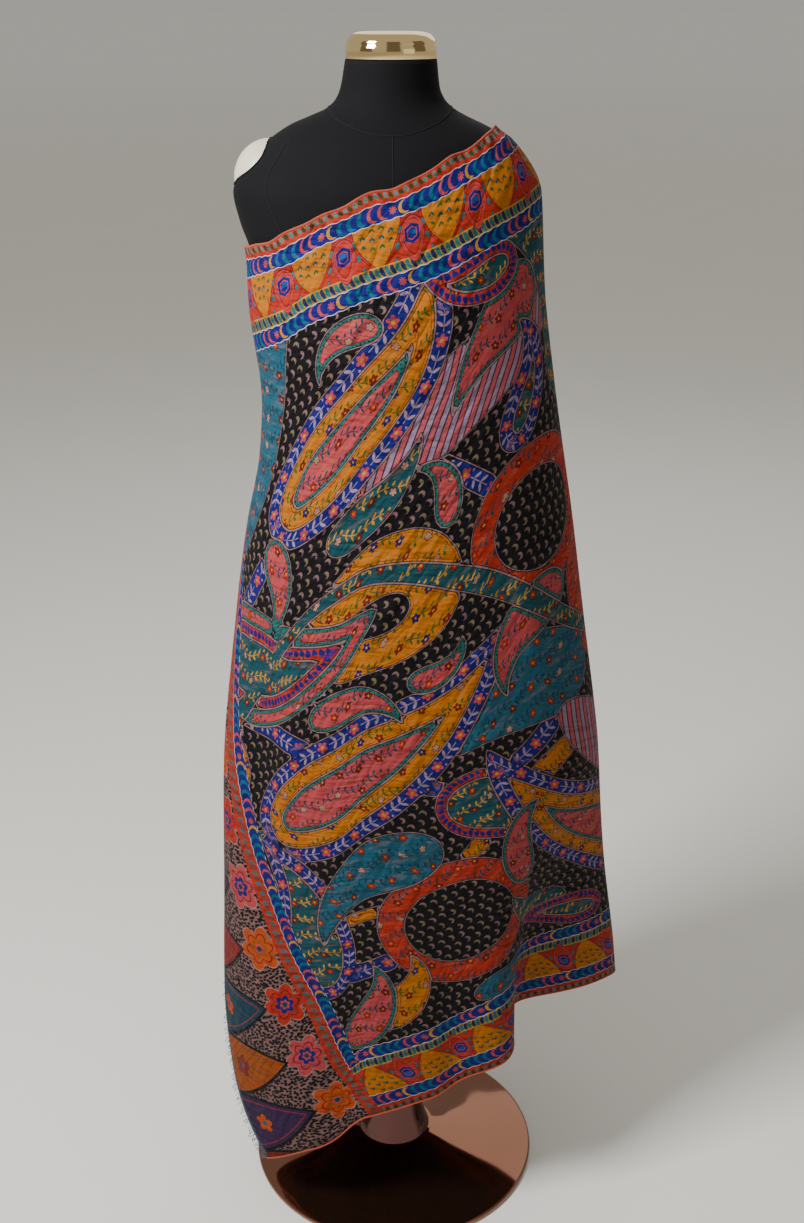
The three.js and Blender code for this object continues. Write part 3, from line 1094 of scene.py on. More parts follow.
@effect("ground crescents", "Moons Tint", U=0, V=0)
def ground_crescents(c: Chart, i: Readings) -> Readings:
    """Rows of small crescents on the black ground, each a little turned and of its own tint.

    Args:
        c: The group's chart.
        i: U and V, in millimetres.

    Returns:
        The mask Moons, and their Tint from 0 to 1.
    """
    wide, tall = 12.6, 11.4
    row = (i["V"] / tall).floor()
    along = i["U"] + row.wrap(2) * (wide / 2) + (row * 2.4).cos() * 1.8
    column = (along / wide).floor()
    y = i["V"] - row * tall - tall / 2 + (column * 2.9 + row).cos() * 0.8
    x = along - column * wide - wide / 2
    turn = (row * 3.1 + column * 1.9).cos()
    moon = (c.length(x - 0.2, y) < 4.0) * (c.length(x + 1.7 - turn * 0.5, y - 0.8 - turn * 1.1) > 3.4)
    wing = (c.length((x - 0.6) * 1.3, y + 1.2) < 2.2) * (c.length(x + 0.6, y - 0.2) > 1.6)
    tint = (row * 2.7 + column * 4.1).cos() * 0.5 + 0.5
    return {"Moons": c.most(moon, wing), "Tint": tint}


@effect("end panel", "Colour", In=0, Run=0)
def end_panel(c: Chart, i: Readings) -> Readings:
    """The panel at the cloth's end: great pointed leaves, then lotuses on a speckled ground.

    Args:
        c: The group's chart.
        i: In, millimetres from the end, and Run down it.

    Returns:
        Colour.
    """
    pitch, leaf_length, flower_in, bloom_in = 77, 118, 147, 34
    x, run = i["In"], i["Run"]
    cells = c.node("ShaderNodeTexVoronoi", voronoi_dimensions="2D")
    cells.inputs["Scale"].default_value = 0.24
    c.put(cells.inputs["Vector"], c.point(x * 0.8, run * 1.15))
    fleck = Reading(c, cells.outputs["Distance"]) < 0.43
    ground = c.paint(Dye.DUSK, Dye.INK, fleck)
    leaf_run = run - 17.5
    y = leaf_run.wrap(pitch) - pitch / 2
    reach = c.length(x - flower_in, y) * 0.86
    lobes = abs((c.angle(x - flower_in, y) * 3).cos())
    kind = (leaf_run / pitch).floor().wrap(3)
    petal = c.paint(Dye.TANGERINE, Dye.CORAL, kind > 0.5)
    petal = c.paint(petal, Dye.ROSE, kind > 1.5)
    inner = c.paint(Dye.AMBER, Dye.ROYAL, kind > 0.5)
    colour = c.layers(
        ground,
        (Dye.BLUSH, reach < lobes * 9 + 17.2),
        (petal, reach < lobes * 9 + 16),
        (Dye.BRICK, (reach - lobes * 6 - 11).within(0.8)),
        (inner, reach < lobes * 4 + 7),
        (Dye.ROSE, reach < lobes * 2 + 4),
        (Dye.PETROL, reach < 3),
    )
    leaf_y = abs(y)
    tip = c.math("POWER", c.math("MAXIMUM", x, 0.0) / leaf_length, 2.0)
    room = (1 - tip) * (pitch / 2) - leaf_y
    hue = (leaf_run / pitch + 1).floor().wrap(4)
    leaf = c.paint(Dye.AMBER, Dye.PLUM, hue > 0.5)
    leaf = c.paint(leaf, Dye.WINE, hue > 1.5)
    leaf = c.paint(leaf, Dye.PETROL, hue > 2.5)
    vein = (leaf_y * 0.9 - x * 0.5).wrap(9) < 0.9
    leaf = c.paint(leaf, Dye.INK, vein * 0.6)
    leaf = c.paint(leaf, Dye.CORAL, (room - 8).within(0.8) * 0.6)
    bloom = c.length(x - bloom_in, leaf_y) * 0.9
    ring = abs((c.angle(x - bloom_in, leaf_y) * 2.5).cos())
    leaf = c.layers(
        leaf,
        (Dye.INK, bloom < ring * 5 + 8),
        (c.paint(Dye.WINE, Dye.TANGERINE, hue.wrap(2)), bloom < ring * 5 + 7),
        (Dye.LAGOON, bloom < 3),
    )
    colour = c.paint(colour, Dye.INK, room > -1.6)
    colour = c.paint(colour, leaf, room > 2.6)
    return {"Colour": c.paint(colour, Dye.SLATE, x < 5)}


@effect("wool twill", "Height Tone", U=0, V=0, Pitch=1.1)
def twill(c: Chart, i: Readings) -> Readings:
    """Fine wool twill: its relief and the small change of tone from yarn to yarn.

    Args:
        c: The group's chart.
        i: U and V, in millimetres, and the ribs' Pitch.

    Returns:
        The relief Height, and Tone around 1.
    """
    u, v, pitch = i["U"], i["V"], i["Pitch"]
    rib = ((u + v) / pitch * 6.283).cos()
    weft = ((v - u * 0.3) / pitch * 9.4).cos()
    slub = c.noise(c.point(u * 0.08, v * 0.9), 1.0, 2)
    height = rib * 0.35 + weft * 0.15 + slub * 0.5
    return {"Height": height, "Tone": (slub - 0.5) * 0.5 + rib * 0.06 + 1}


@effect("wrinkles", "Height", U=0, V=0)
def wrinkles(c: Chart, i: Readings) -> Readings:
    """Small wrinkles that handling leaves in hanging wool.

    Args:
        c: The group's chart.
        i: U and V, in millimetres.

    Returns:
        The relief Height.
    """
    u, v = i["U"], i["V"]
    long = c.noise(c.point((u + v * 0.5) / 150, (v - u * 0.45) / 26), 1.0, 3, 0.55)
    cross = c.noise(c.point((u - v * 0.8) / 120, (v + u * 0.9) / 34, 3.0), 1.0, 2, 0.5)
    return {"Height": abs(long - 0.5) * 1.4 + abs(cross - 0.5)}


@effect("handling", "Roughness Height", Least=0.05, Spread=0.2)
def handling(c: Chart, i: Readings) -> Readings:
    """Faint smears and fine scratches on polished metal or smooth shell.

    Args:
        c: The group's chart.
        i: The Least roughness and its Spread.

    Returns:
        Roughness and a relief Height.
    """
    place = c.object_place()
    smear = c.noise(place, 9, 3, 0.6)
    fine = c.noise(place, 260, 2, 0.5)
    rough = i["Least"] + c.math("MAXIMUM", smear - 0.48, 0.0) * i["Spread"] + fine * i["Spread"] * 0.12
    return {"Roughness": rough, "Height": fine}


# ---- finishes


@dataclass(frozen=True)
class PrintedWool:
    """Fine wool with borders along its edges, a panel at its end and great paisleys on black."""

    name: str = "printed wool"
    edge_strip: float = 12
    strip: float = 16
    band: float = 40
    ticks: float = 12
    panel: float = 204
    twill_pitch: float = 1.1
    # Painted shade: the colour darkens from this far down the cloth to its lower edge, where less light
    # falls.
    painted_shade_from: float = 300
    painted_shade_over: float = 770
    painted_shade_depth: float = 0.27

    def field_colour(self, c: Chart, u: Reading, v: Reading) -> Reading:
        """Paints the field.

        Args:
            c: The chart of the material.
            u: Millimetres along the cloth.
            v: Millimetres down the cloth.

        Returns:
            The field's colour.
        """
        moons = c.call(ground_crescents, U=u, V=v)
        moon: Shade = c.paint(Dye.MAUVE, Dye.OCHRE, moons["Tint"])
        colour: Shade = c.paint(Dye.INK, moon, moons["Moons"])
        leaf: Shade = c.paint(Dye.PETROL, Dye.LEAF, c.stored(Dye.MUSTARD.layer) < 0)
        leaf = c.paint(leaf, Dye.BUTTER, c.stored(Dye.TEAL.layer) < 0)
        petal: Shade = c.paint(Dye.CORAL, Dye.ROYAL, c.stored(Dye.MUSTARD.layer) < 0)
        fill: Shade = GROWN[0]
        for dye in GROWN[1:]:
            fill = c.paint(fill, dye, c.stored(dye.layer) < 0)
        grow_u, grow_v = u + (v * 0.0115).cos() * 24, v + (u * 0.0092).cos() * 34
        brush = c.noise(c.point(grow_u * 0.035, grow_v * 0.13), 1.0, 3, 0.6)
        fill = c.paint(fill, Dye.APRICOT, c.math("MAXIMUM", brush - 0.52, 0.0) * 1.2)
        large = c.call(flora, U=grow_u, V=grow_v, Size=25.0)
        petal = c.paint(petal, Dye.BRICK, large["Pick"] > 0.45)
        petal = c.paint(petal, Dye.BLUSH, large["Pick"] > 0.8)
        fill = c.layers(
            fill,
            (leaf, large["Leaves"]),
            (Dye.INK, large["Rims"]),
            (petal, large["Petals"]),
            (Dye.BUTTER, large["Hearts"]),
        )
        colour = c.paint(colour, fill, c.least(*(c.stored(dye.layer) for dye in GROWN)) < 0)
        bar = (u * 0.97 + v * 0.22).wrap(15) - 7.5
        stripes = c.paint(Dye.STRIPE, Dye.LILAC, bar > 0)
        line = c.most(bar.within(0.9), (abs(bar) - 7.5).within(0.9))
        colour = c.paint(colour, c.paint(stripes, Dye.PLUM, line), c.stored(Dye.STRIPE.layer) < 0)
        run, across = c.stored("run") * 1000, c.stored("across") * 1000
        vine = c.call(garland, Run=run, Across=across)
        blue = c.paint(Dye.ROYAL, Dye.LILAC, vine["Leaves"])
        blue = c.paint(blue, Dye.ROSE, vine["Flowers"])
        blue = c.paint(blue, Dye.BUTTER, vine["Hearts"])
        colour = c.paint(colour, blue, c.stored(Dye.ROYAL.layer) < 0)
        leaves = c.call(leaf_ticks, Run=run, Across=across, Half=5.0, Pitch=8.0)
        rim = (c.stored("rim") > 0.5) * (c.stored(Dye.CORAL.layer) < 0)
        colour = c.paint(colour, Dye.CORAL, rim)
        colour = c.paint(colour, Dye.ROYAL, leaves["Leaf"] * rim)
        rose, gold = c.stored(Dye.ROSE.layer), c.stored(Dye.MUSTARD.layer)
        beads = (c.length(u.wrap(4.4) - 2.2, v.wrap(4.4) - 2.2) < 1.0) * 0.85
        trim = c.paint(Dye.JADE, Dye.INK, beads)
        colour = c.paint(colour, trim, (rose < 0) * (rose > -0.0048))
        piping = c.most((rose + 0.0052).within(0.0004), (gold + 0.0042).within(0.0003))
        colour = c.paint(colour, Dye.BRICK, piping)
        edges = [abs(c.stored(dye.layer) + 0.0004) for dye in FILLS]
        colour = c.paint(colour, Dye.INK, c.least(*edges) < 0.0013)
        return c.paint(colour, Dye.OUTLINE, c.least(*edges) < 0.0005)

    def border_colour(self, c: Chart, run: Reading, e: Reading) -> Reading:
        """Paints the border of a long edge, but for its crescent strips.

        Args:
            c: The chart of the material.
            run: Millimetres along the edge.
            e: Millimetres in from the edge.

        Returns:
            The border's colour.
        """
        band_at = self.edge_strip + self.strip
        ticks_at = band_at + self.band
        lotus = c.call(lotus_band, Run=run, Across=e - band_at)
        colour: Shade = lotus["Colour"]
        small = c.call(leaf_ticks, Run=run, Across=e - 4.6, Half=3.6, Pitch=5.2)
        patch = c.paint(Dye.MIST, Dye.MOSS, small["Turn"])
        edge = c.paint(Dye.CORAL, patch, small["Leaf"])
        colour = c.paint(colour, edge, e < self.edge_strip)
        middle = ticks_at + self.ticks / 2
        row = c.call(leaf_ticks, Run=run, Across=e - middle, Half=6.6, Pitch=5.3)
        leaf = c.paint(Dye.NIGHT, Dye.JADE, row["Turn"])
        green = c.paint(Dye.STRAW, leaf, row["Leaf"])
        colour = c.paint(colour, green, (e > ticks_at) * (1 - lotus["Over"]))
        gold = (e - ticks_at - 0.5).within(0.6) * (1 - lotus["Over"])
        gold = c.most(gold, (e - ticks_at - self.ticks + 0.4).within(0.7))
        return c.paint(colour, Dye.GILT, gold)

    def build(self) -> Material:
        """Builds the material.

        Returns:
            The material.
        """
        material, c, shader = new_material(self.name)
        u, v = c.cloth_place()
        e = c.math("MINIMUM", v, CLOTH_WIDTH - v)
        depth = self.edge_strip + 2 * self.strip + self.band + self.ticks
        inner = depth - self.strip
        colour = self.field_colour(c, u, v)
        colour = c.paint(colour, self.border_colour(c, u, e), e < depth)
        ticked = self.panel - self.strip
        in_panel = c.most(u < ticked, (u < self.panel) * (e > inner))
        ends = c.call(end_panel, In=u, Run=v)["Colour"]
        tick = c.call(leaf_ticks, Run=v, Across=u - (ticked - 9), Half=5.6, Pitch=6.4)
        patch = c.paint(Dye.LICHEN, Dye.RUST, tick["Turn"])
        brick = c.paint(Dye.CORAL, patch, tick["Leaf"])
        ends = c.paint(ends, brick, u > ticked - 18)
        colour = c.paint(colour, ends, in_panel)
        outer = c.choose(e - (inner + self.strip / 2), e - (self.edge_strip + self.strip / 2), e < 40)
        upright = (u < self.panel) * (e > inner)
        across = c.choose(outer, u - (self.panel - self.strip / 2), upright)
        strip = c.call(crescent_row, Run=c.choose(u, v, upright), Across=across)["Colour"]
        on_strip = (abs(across) < self.strip / 2) * (u > ticked)
        colour = c.paint(colour, strip, on_strip)
        scallop = (c.choose(u, v, upright) * 0.52).cos() * 0.5
        thread = (abs(across) - self.strip / 2 + scallop).within(0.42) * (u > ticked - 1)
        colour = c.paint(colour, Dye.THREAD, thread)
        weave = c.call(twill, U=u, V=v, Pitch=self.twill_pitch)
        colour = c.paint(colour, Dye.REVERSE, c.stored("reverse") * 0.45)
        # Painted shade: the colour is darkened towards the lower edge, standing in for the light falling off
        # down the cloth.
        down = (v - self.painted_shade_from) / self.painted_shade_over
        deep = c.math("MINIMUM", c.math("MAXIMUM", down, 0.0), 1.0)
        shade = weave["Tone"] * (1 - deep * self.painted_shade_depth)
        tone = c.node("ShaderNodeMix", data_type="RGBA", blend_type="MULTIPLY")
        tone.inputs[0].default_value = 1
        c.put(tone.inputs[6], colour)
        c.put(tone.inputs[7], c.point(shade, shade, shade))
        c.put(shader["Base Color"], Reading(c, tone.outputs[2]))
        c.put(shader["Roughness"], weave["Height"] * 0.08 + 0.72)
        wrinkled = c.bump(c.call(wrinkles, U=u, V=v)["Height"], strength=0.85, depth=0.013)
        c.put(shader["Normal"], c.bump(weave["Height"], 0.35, 0.0003, under=wrinkled))
        shader["Sheen Weight"].default_value = 0.01
        shader["Sheen Roughness"].default_value = 0.4
        shader["Specular IOR Level"].default_value = 0.12
        return material


@dataclass(frozen=True)
class Yarn:
    """Wool thread or rolled hem, with its twist and its changes of tone."""

    name: str
    colour: Colour
    second: Colour
    scale: float = 240

    def build(self) -> Material:
        """Builds the material.

        Returns:
            The material.
        """
        material, c, shader = new_material(self.name)
        place = c.object_place()
        c.put(shader["Base Color"], c.paint(self.colour, self.second, c.noise(place, self.scale, 2)))
        c.put(shader["Roughness"], c.noise(place, 90) * 0.2 + 0.7)
        c.put(shader["Normal"], c.bump(c.noise(place, 1500, 1), strength=0.5, depth=0.0002))
        shader["Sheen Weight"].default_value = 0.15
        return material


@dataclass(frozen=True)
class Jersey:
    """Black stretch jersey, with its fine wales and a little lint."""

    name: str = "black jersey"
    colour: Colour = (0.0035, 0.0035, 0.0045)
    lint: Colour = (0.012, 0.0115, 0.013)

    def build(self) -> Material:
        """Builds the material.

        Returns:
            The material.
        """
        material, c, shader = new_material(self.name)
        place = c.object_place()
        soft, fine = c.noise(place, 7, 3), c.noise(place, 900, 2, 0.6)
        c.put(shader["Base Color"], c.paint(self.colour, self.lint, soft * fine))
        c.put(shader["Roughness"], fine * 0.2 + 0.72)
        wave = c.node("ShaderNodeTexWave", wave_type="BANDS", bands_direction="X")
        c.put(wave.inputs["Vector"], place)
        wave.inputs["Scale"].default_value = 180
        wave.inputs["Distortion"].default_value = 1.2
        wales = Reading(c, wave.outputs["Fac"]) * 0.6 + fine * 0.5
        c.put(shader["Normal"], c.bump(wales, strength=0.3, depth=0.0002))
        shader["Sheen Weight"].default_value = 0.01
        shader["Sheen Roughness"].default_value = 0.5
        shader["Specular IOR Level"].default_value = 0.1
        return material


@dataclass(frozen=True)
class Polished:
    """Polished metal or smooth shell, with faint smears."""

    name: str
    colour: Colour
    deeper: Colour
    metal: float
    least: float
    spread: float

    def build(self) -> Material:
        """Builds the material.

        Returns:
            The material.
        """
        material, c, shader = new_material(self.name)
        marks = c.call(handling, Least=self.least, Spread=self.spread)
        cloud = c.noise(c.object_place(), 5, 2)
        c.put(shader["Base Color"], c.paint(self.colour, self.deeper, cloud))
        c.put(shader["Roughness"], marks["Roughness"])
        shader["Metallic"].default_value = self.metal
        c.put(shader["Normal"], c.bump(marks["Height"], strength=0.04, depth=0.0002))
        return material


# ---- the print's large motifs


@dataclass
class FieldDesign:
    """Where the field's large motifs lie on the cloth, as distances from each dye's edges."""

    u: Array
    v: Array
    far: float = 60.0
    margin: float = 4.0
    edges: dict[Dye, Array] = field(default_factory=dict)
    run: Array = field(init=False)
    across: Array = field(init=False)
    rim: Array = field(init=False)

    def __post_init__(self) -> None:
        """Starts with the bare ground."""
        self.edges = {dye: np.full(self.u.shape, self.far) for dye in FILLS}
        self.run, self.across = np.zeros(self.u.shape), np.zeros(self.u.shape)
        self.rim = np.zeros(self.u.shape)

    def nearest(self, line: Array, closed: bool) -> tuple[Array, Array, Array, Array]:
        """Measures the grid against a line.

        Args:
            line: The line's points, in millimetres on the cloth.
            closed: Whether it closes on itself.

        Returns:
            A mask of the grid's points near it, and their distance from it, their run along it and
            their side of it, or for a closed line whether they are outside (1) or inside (-1).
        """
        ends = np.roll(line, -1, 0) if closed else line[1:]
        starts = line if closed else line[:-1]
        low, high = line.min(0) - self.far, line.max(0) + self.far
        near = (self.u > low[0]) & (self.u < high[0]) & (self.v > low[1]) & (self.v < high[1])
        p = np.stack([self.u[near], self.v[near]], -1)[:, None, :]
        d = (ends - starts)[None]
        size = np.maximum((d**2).sum(-1), 1e-9)
        t = np.clip(((p - starts[None]) * d).sum(-1) / size, 0, 1)
        gap = p - starts[None] - t[..., None] * d
        distance = np.sqrt((gap**2).sum(-1))
        best = distance.argmin(1)
        rows = np.arange(len(best))
        walked = np.concatenate([[0], np.cumsum(np.sqrt(size[0]))])
        run = walked[best] + t[rows, best] * np.sqrt(size[0][best])
        turn = d[0, best, 0] * gap[rows, best, 1] - d[0, best, 1] * gap[rows, best, 0]
        side = np.sign(turn)
        if closed:
            y, y0, y1 = p[..., 1], starts[None, :, 1], ends[None, :, 1]
            cut = starts[None, :, 0] + (y - y0) / np.where(y1 == y0, 1, y1 - y0) * d[..., 0]
            crossed = ((y0 > y) != (y1 > y)) & (p[..., 0] < cut)
            side = np.where(crossed.sum(1) % 2 == 1, -1.0, 1.0)
        return near, distance[rows, best], run, side

    def lay(self, near: Array, signed: Array, dye: Optional[Dye]) -> None:
        """Lays one dye, or the bare ground, inside a motif's line.

        Args:
            near: The mask of the grid's points near the line.
            signed: Their distance outside it, less than 0 inside.
            dye: The dye, or none for bare ground.
        """
        for other in FILLS:
            self.edges[other][near] = np.maximum(self.edges[other][near], -signed)
        if dye is not None:
            self.edges[dye][near] = np.minimum(self.edges[dye][near], signed)

    def motif(self, line: Array, rings: Sequence[tuple[Optional[Dye], float, bool]]) -> None:
        """Paints a closed motif in rings.

        Args:
            line: Its outline.
            rings: From the outside in: the dye, the ring's width, and whether a garland or leaves
                run along it.
        """
        near, distance, run, side = self.nearest(line, True)
        signed = distance * side
        cells = np.flatnonzero(near.ravel())
        inset = 0.0
        for dye, width, trimmed in rings:
            self.lay(near, signed + inset, dye)
            inside = signed + inset < self.margin
            self.rim.flat[cells[inside]] = float(trimmed and dye is Dye.CORAL)
            if trimmed:
                self.run.flat[cells[inside]] = run[inside]
                self.across.flat[cells[inside]] = (signed + inset + width / 2)[inside]
            inset += width

    def ribbon(self, line: Array, half: Array, dye: Dye) -> None:
        """Paints an open ribbon.

        Args:
            line: Its middle line.
            half: Its half width along the line.
            dye: Its dye.
        """
        near, distance, run, side = self.nearest(line, False)
        walked = np.concatenate([[0], np.cumsum(np.linalg.norm(np.diff(line, axis=0), axis=1))])
        signed = distance - np.interp(run, walked, half)
        self.lay(near, signed, dye)
        inside = signed < self.margin
        here = np.flatnonzero(near.ravel())[inside]
        self.rim.flat[here] = 0
        self.run.flat[here] = run[inside]
        self.across.flat[here] = (distance * side)[inside]

    def store(self, piece: Object, copies: int) -> None:
        """Stores the design on the cloth's mesh.

        Args:
            piece: The cloth.
            copies: How many times its points repeat the grid.
        """
        for dye in FILLS:
            set_values(piece, dye.layer, np.tile(self.edges[dye].ravel() * MM, copies))
        set_values(piece, "run", np.tile(self.run.ravel() * MM, copies))
        set_values(piece, "across", np.tile(self.across.ravel() * MM, copies))
        set_values(piece, "rim", np.tile(self.rim.ravel(), copies))


def paisley(u: float, v: float, long: float, wide: float, lean: float, curl: float) -> Array:
    """The outline of a paisley.

    Args:
        u: Its middle along the cloth, in millimetres.
        v: Its middle down the cloth.
        long: The length of its spine.
        wide: Its greatest width.
        lean: The direction of its spine from the belly, in degrees; 90 points up the cloth.
        curl: How far the spine turns on its way to the tip, in degrees.

    Returns:
        The outline's points.
    """
    s = np.linspace(0, 1, 90)
    heading = np.radians(lean + curl * s**1.8)
    step = long / (len(s) - 1)
    spine = np.cumsum(np.stack([np.cos(heading), -np.sin(heading)], -1) * step, 0)
    spine += np.array([u, v]) - spine[:55].mean(0)
    half = wide / 2 * np.sin(math.pi * s**0.62) ** 0.78 * (1 - 0.25 * s)
    normal = np.stack([np.sin(heading), np.cos(heading)], -1)
    left, right = spine + normal * half[:, None], spine - normal * half[:, None]
    return np.concatenate([left, right[-2:0:-1]])


def oval(u: float, v: float, long: float, wide: float, lean: float) -> Array:
    """The outline of an oval motif.

    Args:
        u: Its middle along the cloth, in millimetres.
        v: Its middle down the cloth.
        long: Its length.
        wide: Its width.
        lean: How far it leans, in degrees.

    Returns:
        The outline's points.
    """
    t = np.linspace(0, 2 * math.pi, 72, endpoint=False)
    x, y, a = long / 2 * np.cos(t), wide / 2 * np.sin(t), math.radians(lean)
    return np.stack([u + x * math.cos(a) - y * math.sin(a), v - x * math.sin(a) - y * math.cos(a)], -1)


class Ring(Enum):
    """The ways that a large motif is ringed, from the outside in."""

    GARLANDED = ((Dye.ROYAL, 19, True), (Dye.MUSTARD, 21, False), (Dye.ROSE, 99, False))
    GOLDEN = ((Dye.ROSE, 20, False), (Dye.CORAL, 14, True), (Dye.TEAL, 99, False))
    GOLD = ((Dye.MUSTARD, 99, False),)
    EMBER = ((Dye.CORAL, 99, False),)
    EMBERED = ((Dye.CORAL, 13, True), (Dye.TEAL, 99, False))
    LAKE = ((Dye.SKY, 99, False),)
    DEEP = ((Dye.ROYAL, 18, True), (Dye.TEAL, 99, False))
    HOLLOW = ((Dye.CORAL, 30, False), (None, 99, False))
    SHELL = ((Dye.ROSE, 99, False),)
    AWNING = ((Dye.STRIPE, 99, False),)
    EYE = ((None, 99, False),)
    POND = ((Dye.TEAL, 99, False),)


class Shape(Enum):
    """The outlines that a large motif can have."""

    PAISLEY = "paisley"
    OVAL = "oval"


@dataclass(frozen=True)
class Motif:
    """A large motif's outline, its middle in the repeat, its size and lean, and its rings."""

    shape: Shape
    u: float
    v: float
    long: float
    wide: float
    lean: float
    curl: float
    ring: Ring

    def outline(self, start: float, flipped: bool) -> Array:
        """The outline in one repeat.

        Args:
            start: Where the repeat starts along the cloth.
            flipped: Whether it is upside down.

        Returns:
            The outline's points.
        """
        v = 2 * FIELD_MIDDLE - self.v if flipped else self.v
        turn = -1 if flipped else 1
        if self.shape is Shape.OVAL:
            return oval(start + self.u, v, self.long, self.wide, self.lean * turn)
        return paisley(start + self.u, v, self.long, self.wide, self.lean * turn, self.curl * turn)


@dataclass(frozen=True)
class Ribbon:
    """A ribbon that winds along the field: its course, its half width and how that swells."""

    dye: Dye
    middle: float
    swing: float
    wave: float
    phase: float
    half: float
    swell: float
    beat: float

    def lay(self, work: FieldDesign, along: Array) -> None:
        """Paints the ribbon.

        Args:
            work: The design it goes on.
            along: The places along the cloth that it passes.
        """
        v = self.middle + self.swing * np.sin(along / self.wave * 2 * math.pi + self.phase)
        work.ribbon(np.stack([along, v], -1), self.half + self.swell * np.sin(along / self.beat), self.dye)


RIBBONS_UNDER = (
    Ribbon(Dye.ROYAL, 320, 76, 560, 0.2, 11.5, 2.5, 90),
    Ribbon(Dye.ROYAL, 560, 90, 640, 2.9, 11.5, 2.5, 90),
    Ribbon(Dye.ROYAL, 770, 60, 500, 4.4, 11.5, 2.5, 90),
    Ribbon(Dye.MUSTARD, 700, 60, 700, 4.9, 11, 3, 70),
)
RIBBON_OVER = Ribbon(Dye.TEAL, 480, 110, 840, 1.7, 10, 3, 70)
FIELD_MIDDLE = 515.0
FIELD_START, REPEAT = 170.0, 560.0
PAISLEY, OVAL = Shape.PAISLEY, Shape.OVAL
LAYOUT = (
    Motif(PAISLEY, 40, 215, 300, 125, 78, -55, Ring.LAKE),
    Motif(OVAL, 335, 215, 300, 96, 24, 0, Ring.AWNING),
    Motif(PAISLEY, 500, 210, 260, 110, 100, 70, Ring.POND),
    Motif(PAISLEY, 190, 225, 330, 135, 28, 62, Ring.GARLANDED),
    Motif(PAISLEY, 390, 160, 150, 74, 200, 60, Ring.SHELL),
    Motif(OVAL, 445, 385, 176, 164, 10, 0, Ring.HOLLOW),
    Motif(PAISLEY, 265, 400, 270, 150, 205, -60, Ring.GOLD),
    Motif(PAISLEY, 255, 415, 105, 42, 200, -60, Ring.EYE),
    Motif(PAISLEY, 60, 415, 290, 140, -28, 64, Ring.GOLDEN),
    Motif(PAISLEY, 545, 520, 250, 110, 118, -60, Ring.EMBER),
    Motif(PAISLEY, 395, 560, 380, 120, 172, 46, Ring.LAKE),
    Motif(PAISLEY, 160, 590, 400, 150, 4, 44, Ring.GARLANDED),
    Motif(PAISLEY, 330, 690, 260, 104, -20, -70, Ring.EMBERED),
    Motif(OVAL, 505, 690, 210, 84, -52, 0, Ring.AWNING),
    Motif(PAISLEY, 460, 800, 330, 146, 150, -56, Ring.GARLANDED),
    Motif(PAISLEY, 50, 770, 240, 112, 62, 70, Ring.DEEP),
    Motif(OVAL, 225, 810, 190, 170, 0, 0, Ring.HOLLOW),
    Motif(PAISLEY, 110, 890, 120, 54, 12, 90, Ring.GOLD),
    Motif(PAISLEY, 345, 880, 130, 60, 170, -80, Ring.POND),
    Motif(PAISLEY, 330, 318, 96, 36, 80, 110, Ring.SHELL),
    Motif(PAISLEY, 120, 320, 110, 44, -60, -90, Ring.SHELL),
    Motif(PAISLEY, 20, 530, 110, 40, 70, 120, Ring.GOLD),
    Motif(PAISLEY, 20, 660, 100, 36, 120, -120, Ring.SHELL),
    Motif(PAISLEY, 300, 500, 90, 34, -10, 100, Ring.SHELL),
    Motif(PAISLEY, 232, 308, 140, 48, 15, 70, Ring.POND),
    Motif(PAISLEY, 215, 122, 100, 36, 160, 120, Ring.SHELL),
    Motif(PAISLEY, 366, 116, 130, 54, 196, -90, Ring.EMBERED),
    Motif(PAISLEY, 418, 264, 140, 62, 62, 84, Ring.DEEP),
    Motif(PAISLEY, 190, 500, 130, 44, 12, -90, Ring.SHELL),
    Motif(PAISLEY, 185, 706, 210, 78, 172, 76, Ring.LAKE),
    Motif(PAISLEY, 322, 772, 130, 46, 84, -60, Ring.SHELL),
    Motif(PAISLEY, 66, 900, 130, 58, 22, 80, Ring.SHELL),
    Motif(PAISLEY, 392, 906, 150, 50, 176, -34, Ring.EMBERED),
    Motif(PAISLEY, 236, 918, 120, 34, 6, -24, Ring.LAKE),
    Motif(PAISLEY, 436, 480, 160, 60, 196, 84, Ring.SHELL),
)


# ---- what repeats along a line


class LineKind(Enum):
    """What a line is made into."""

    TUBE = "tube"
    THREADS = "threads"
    STITCHES = "stitches"


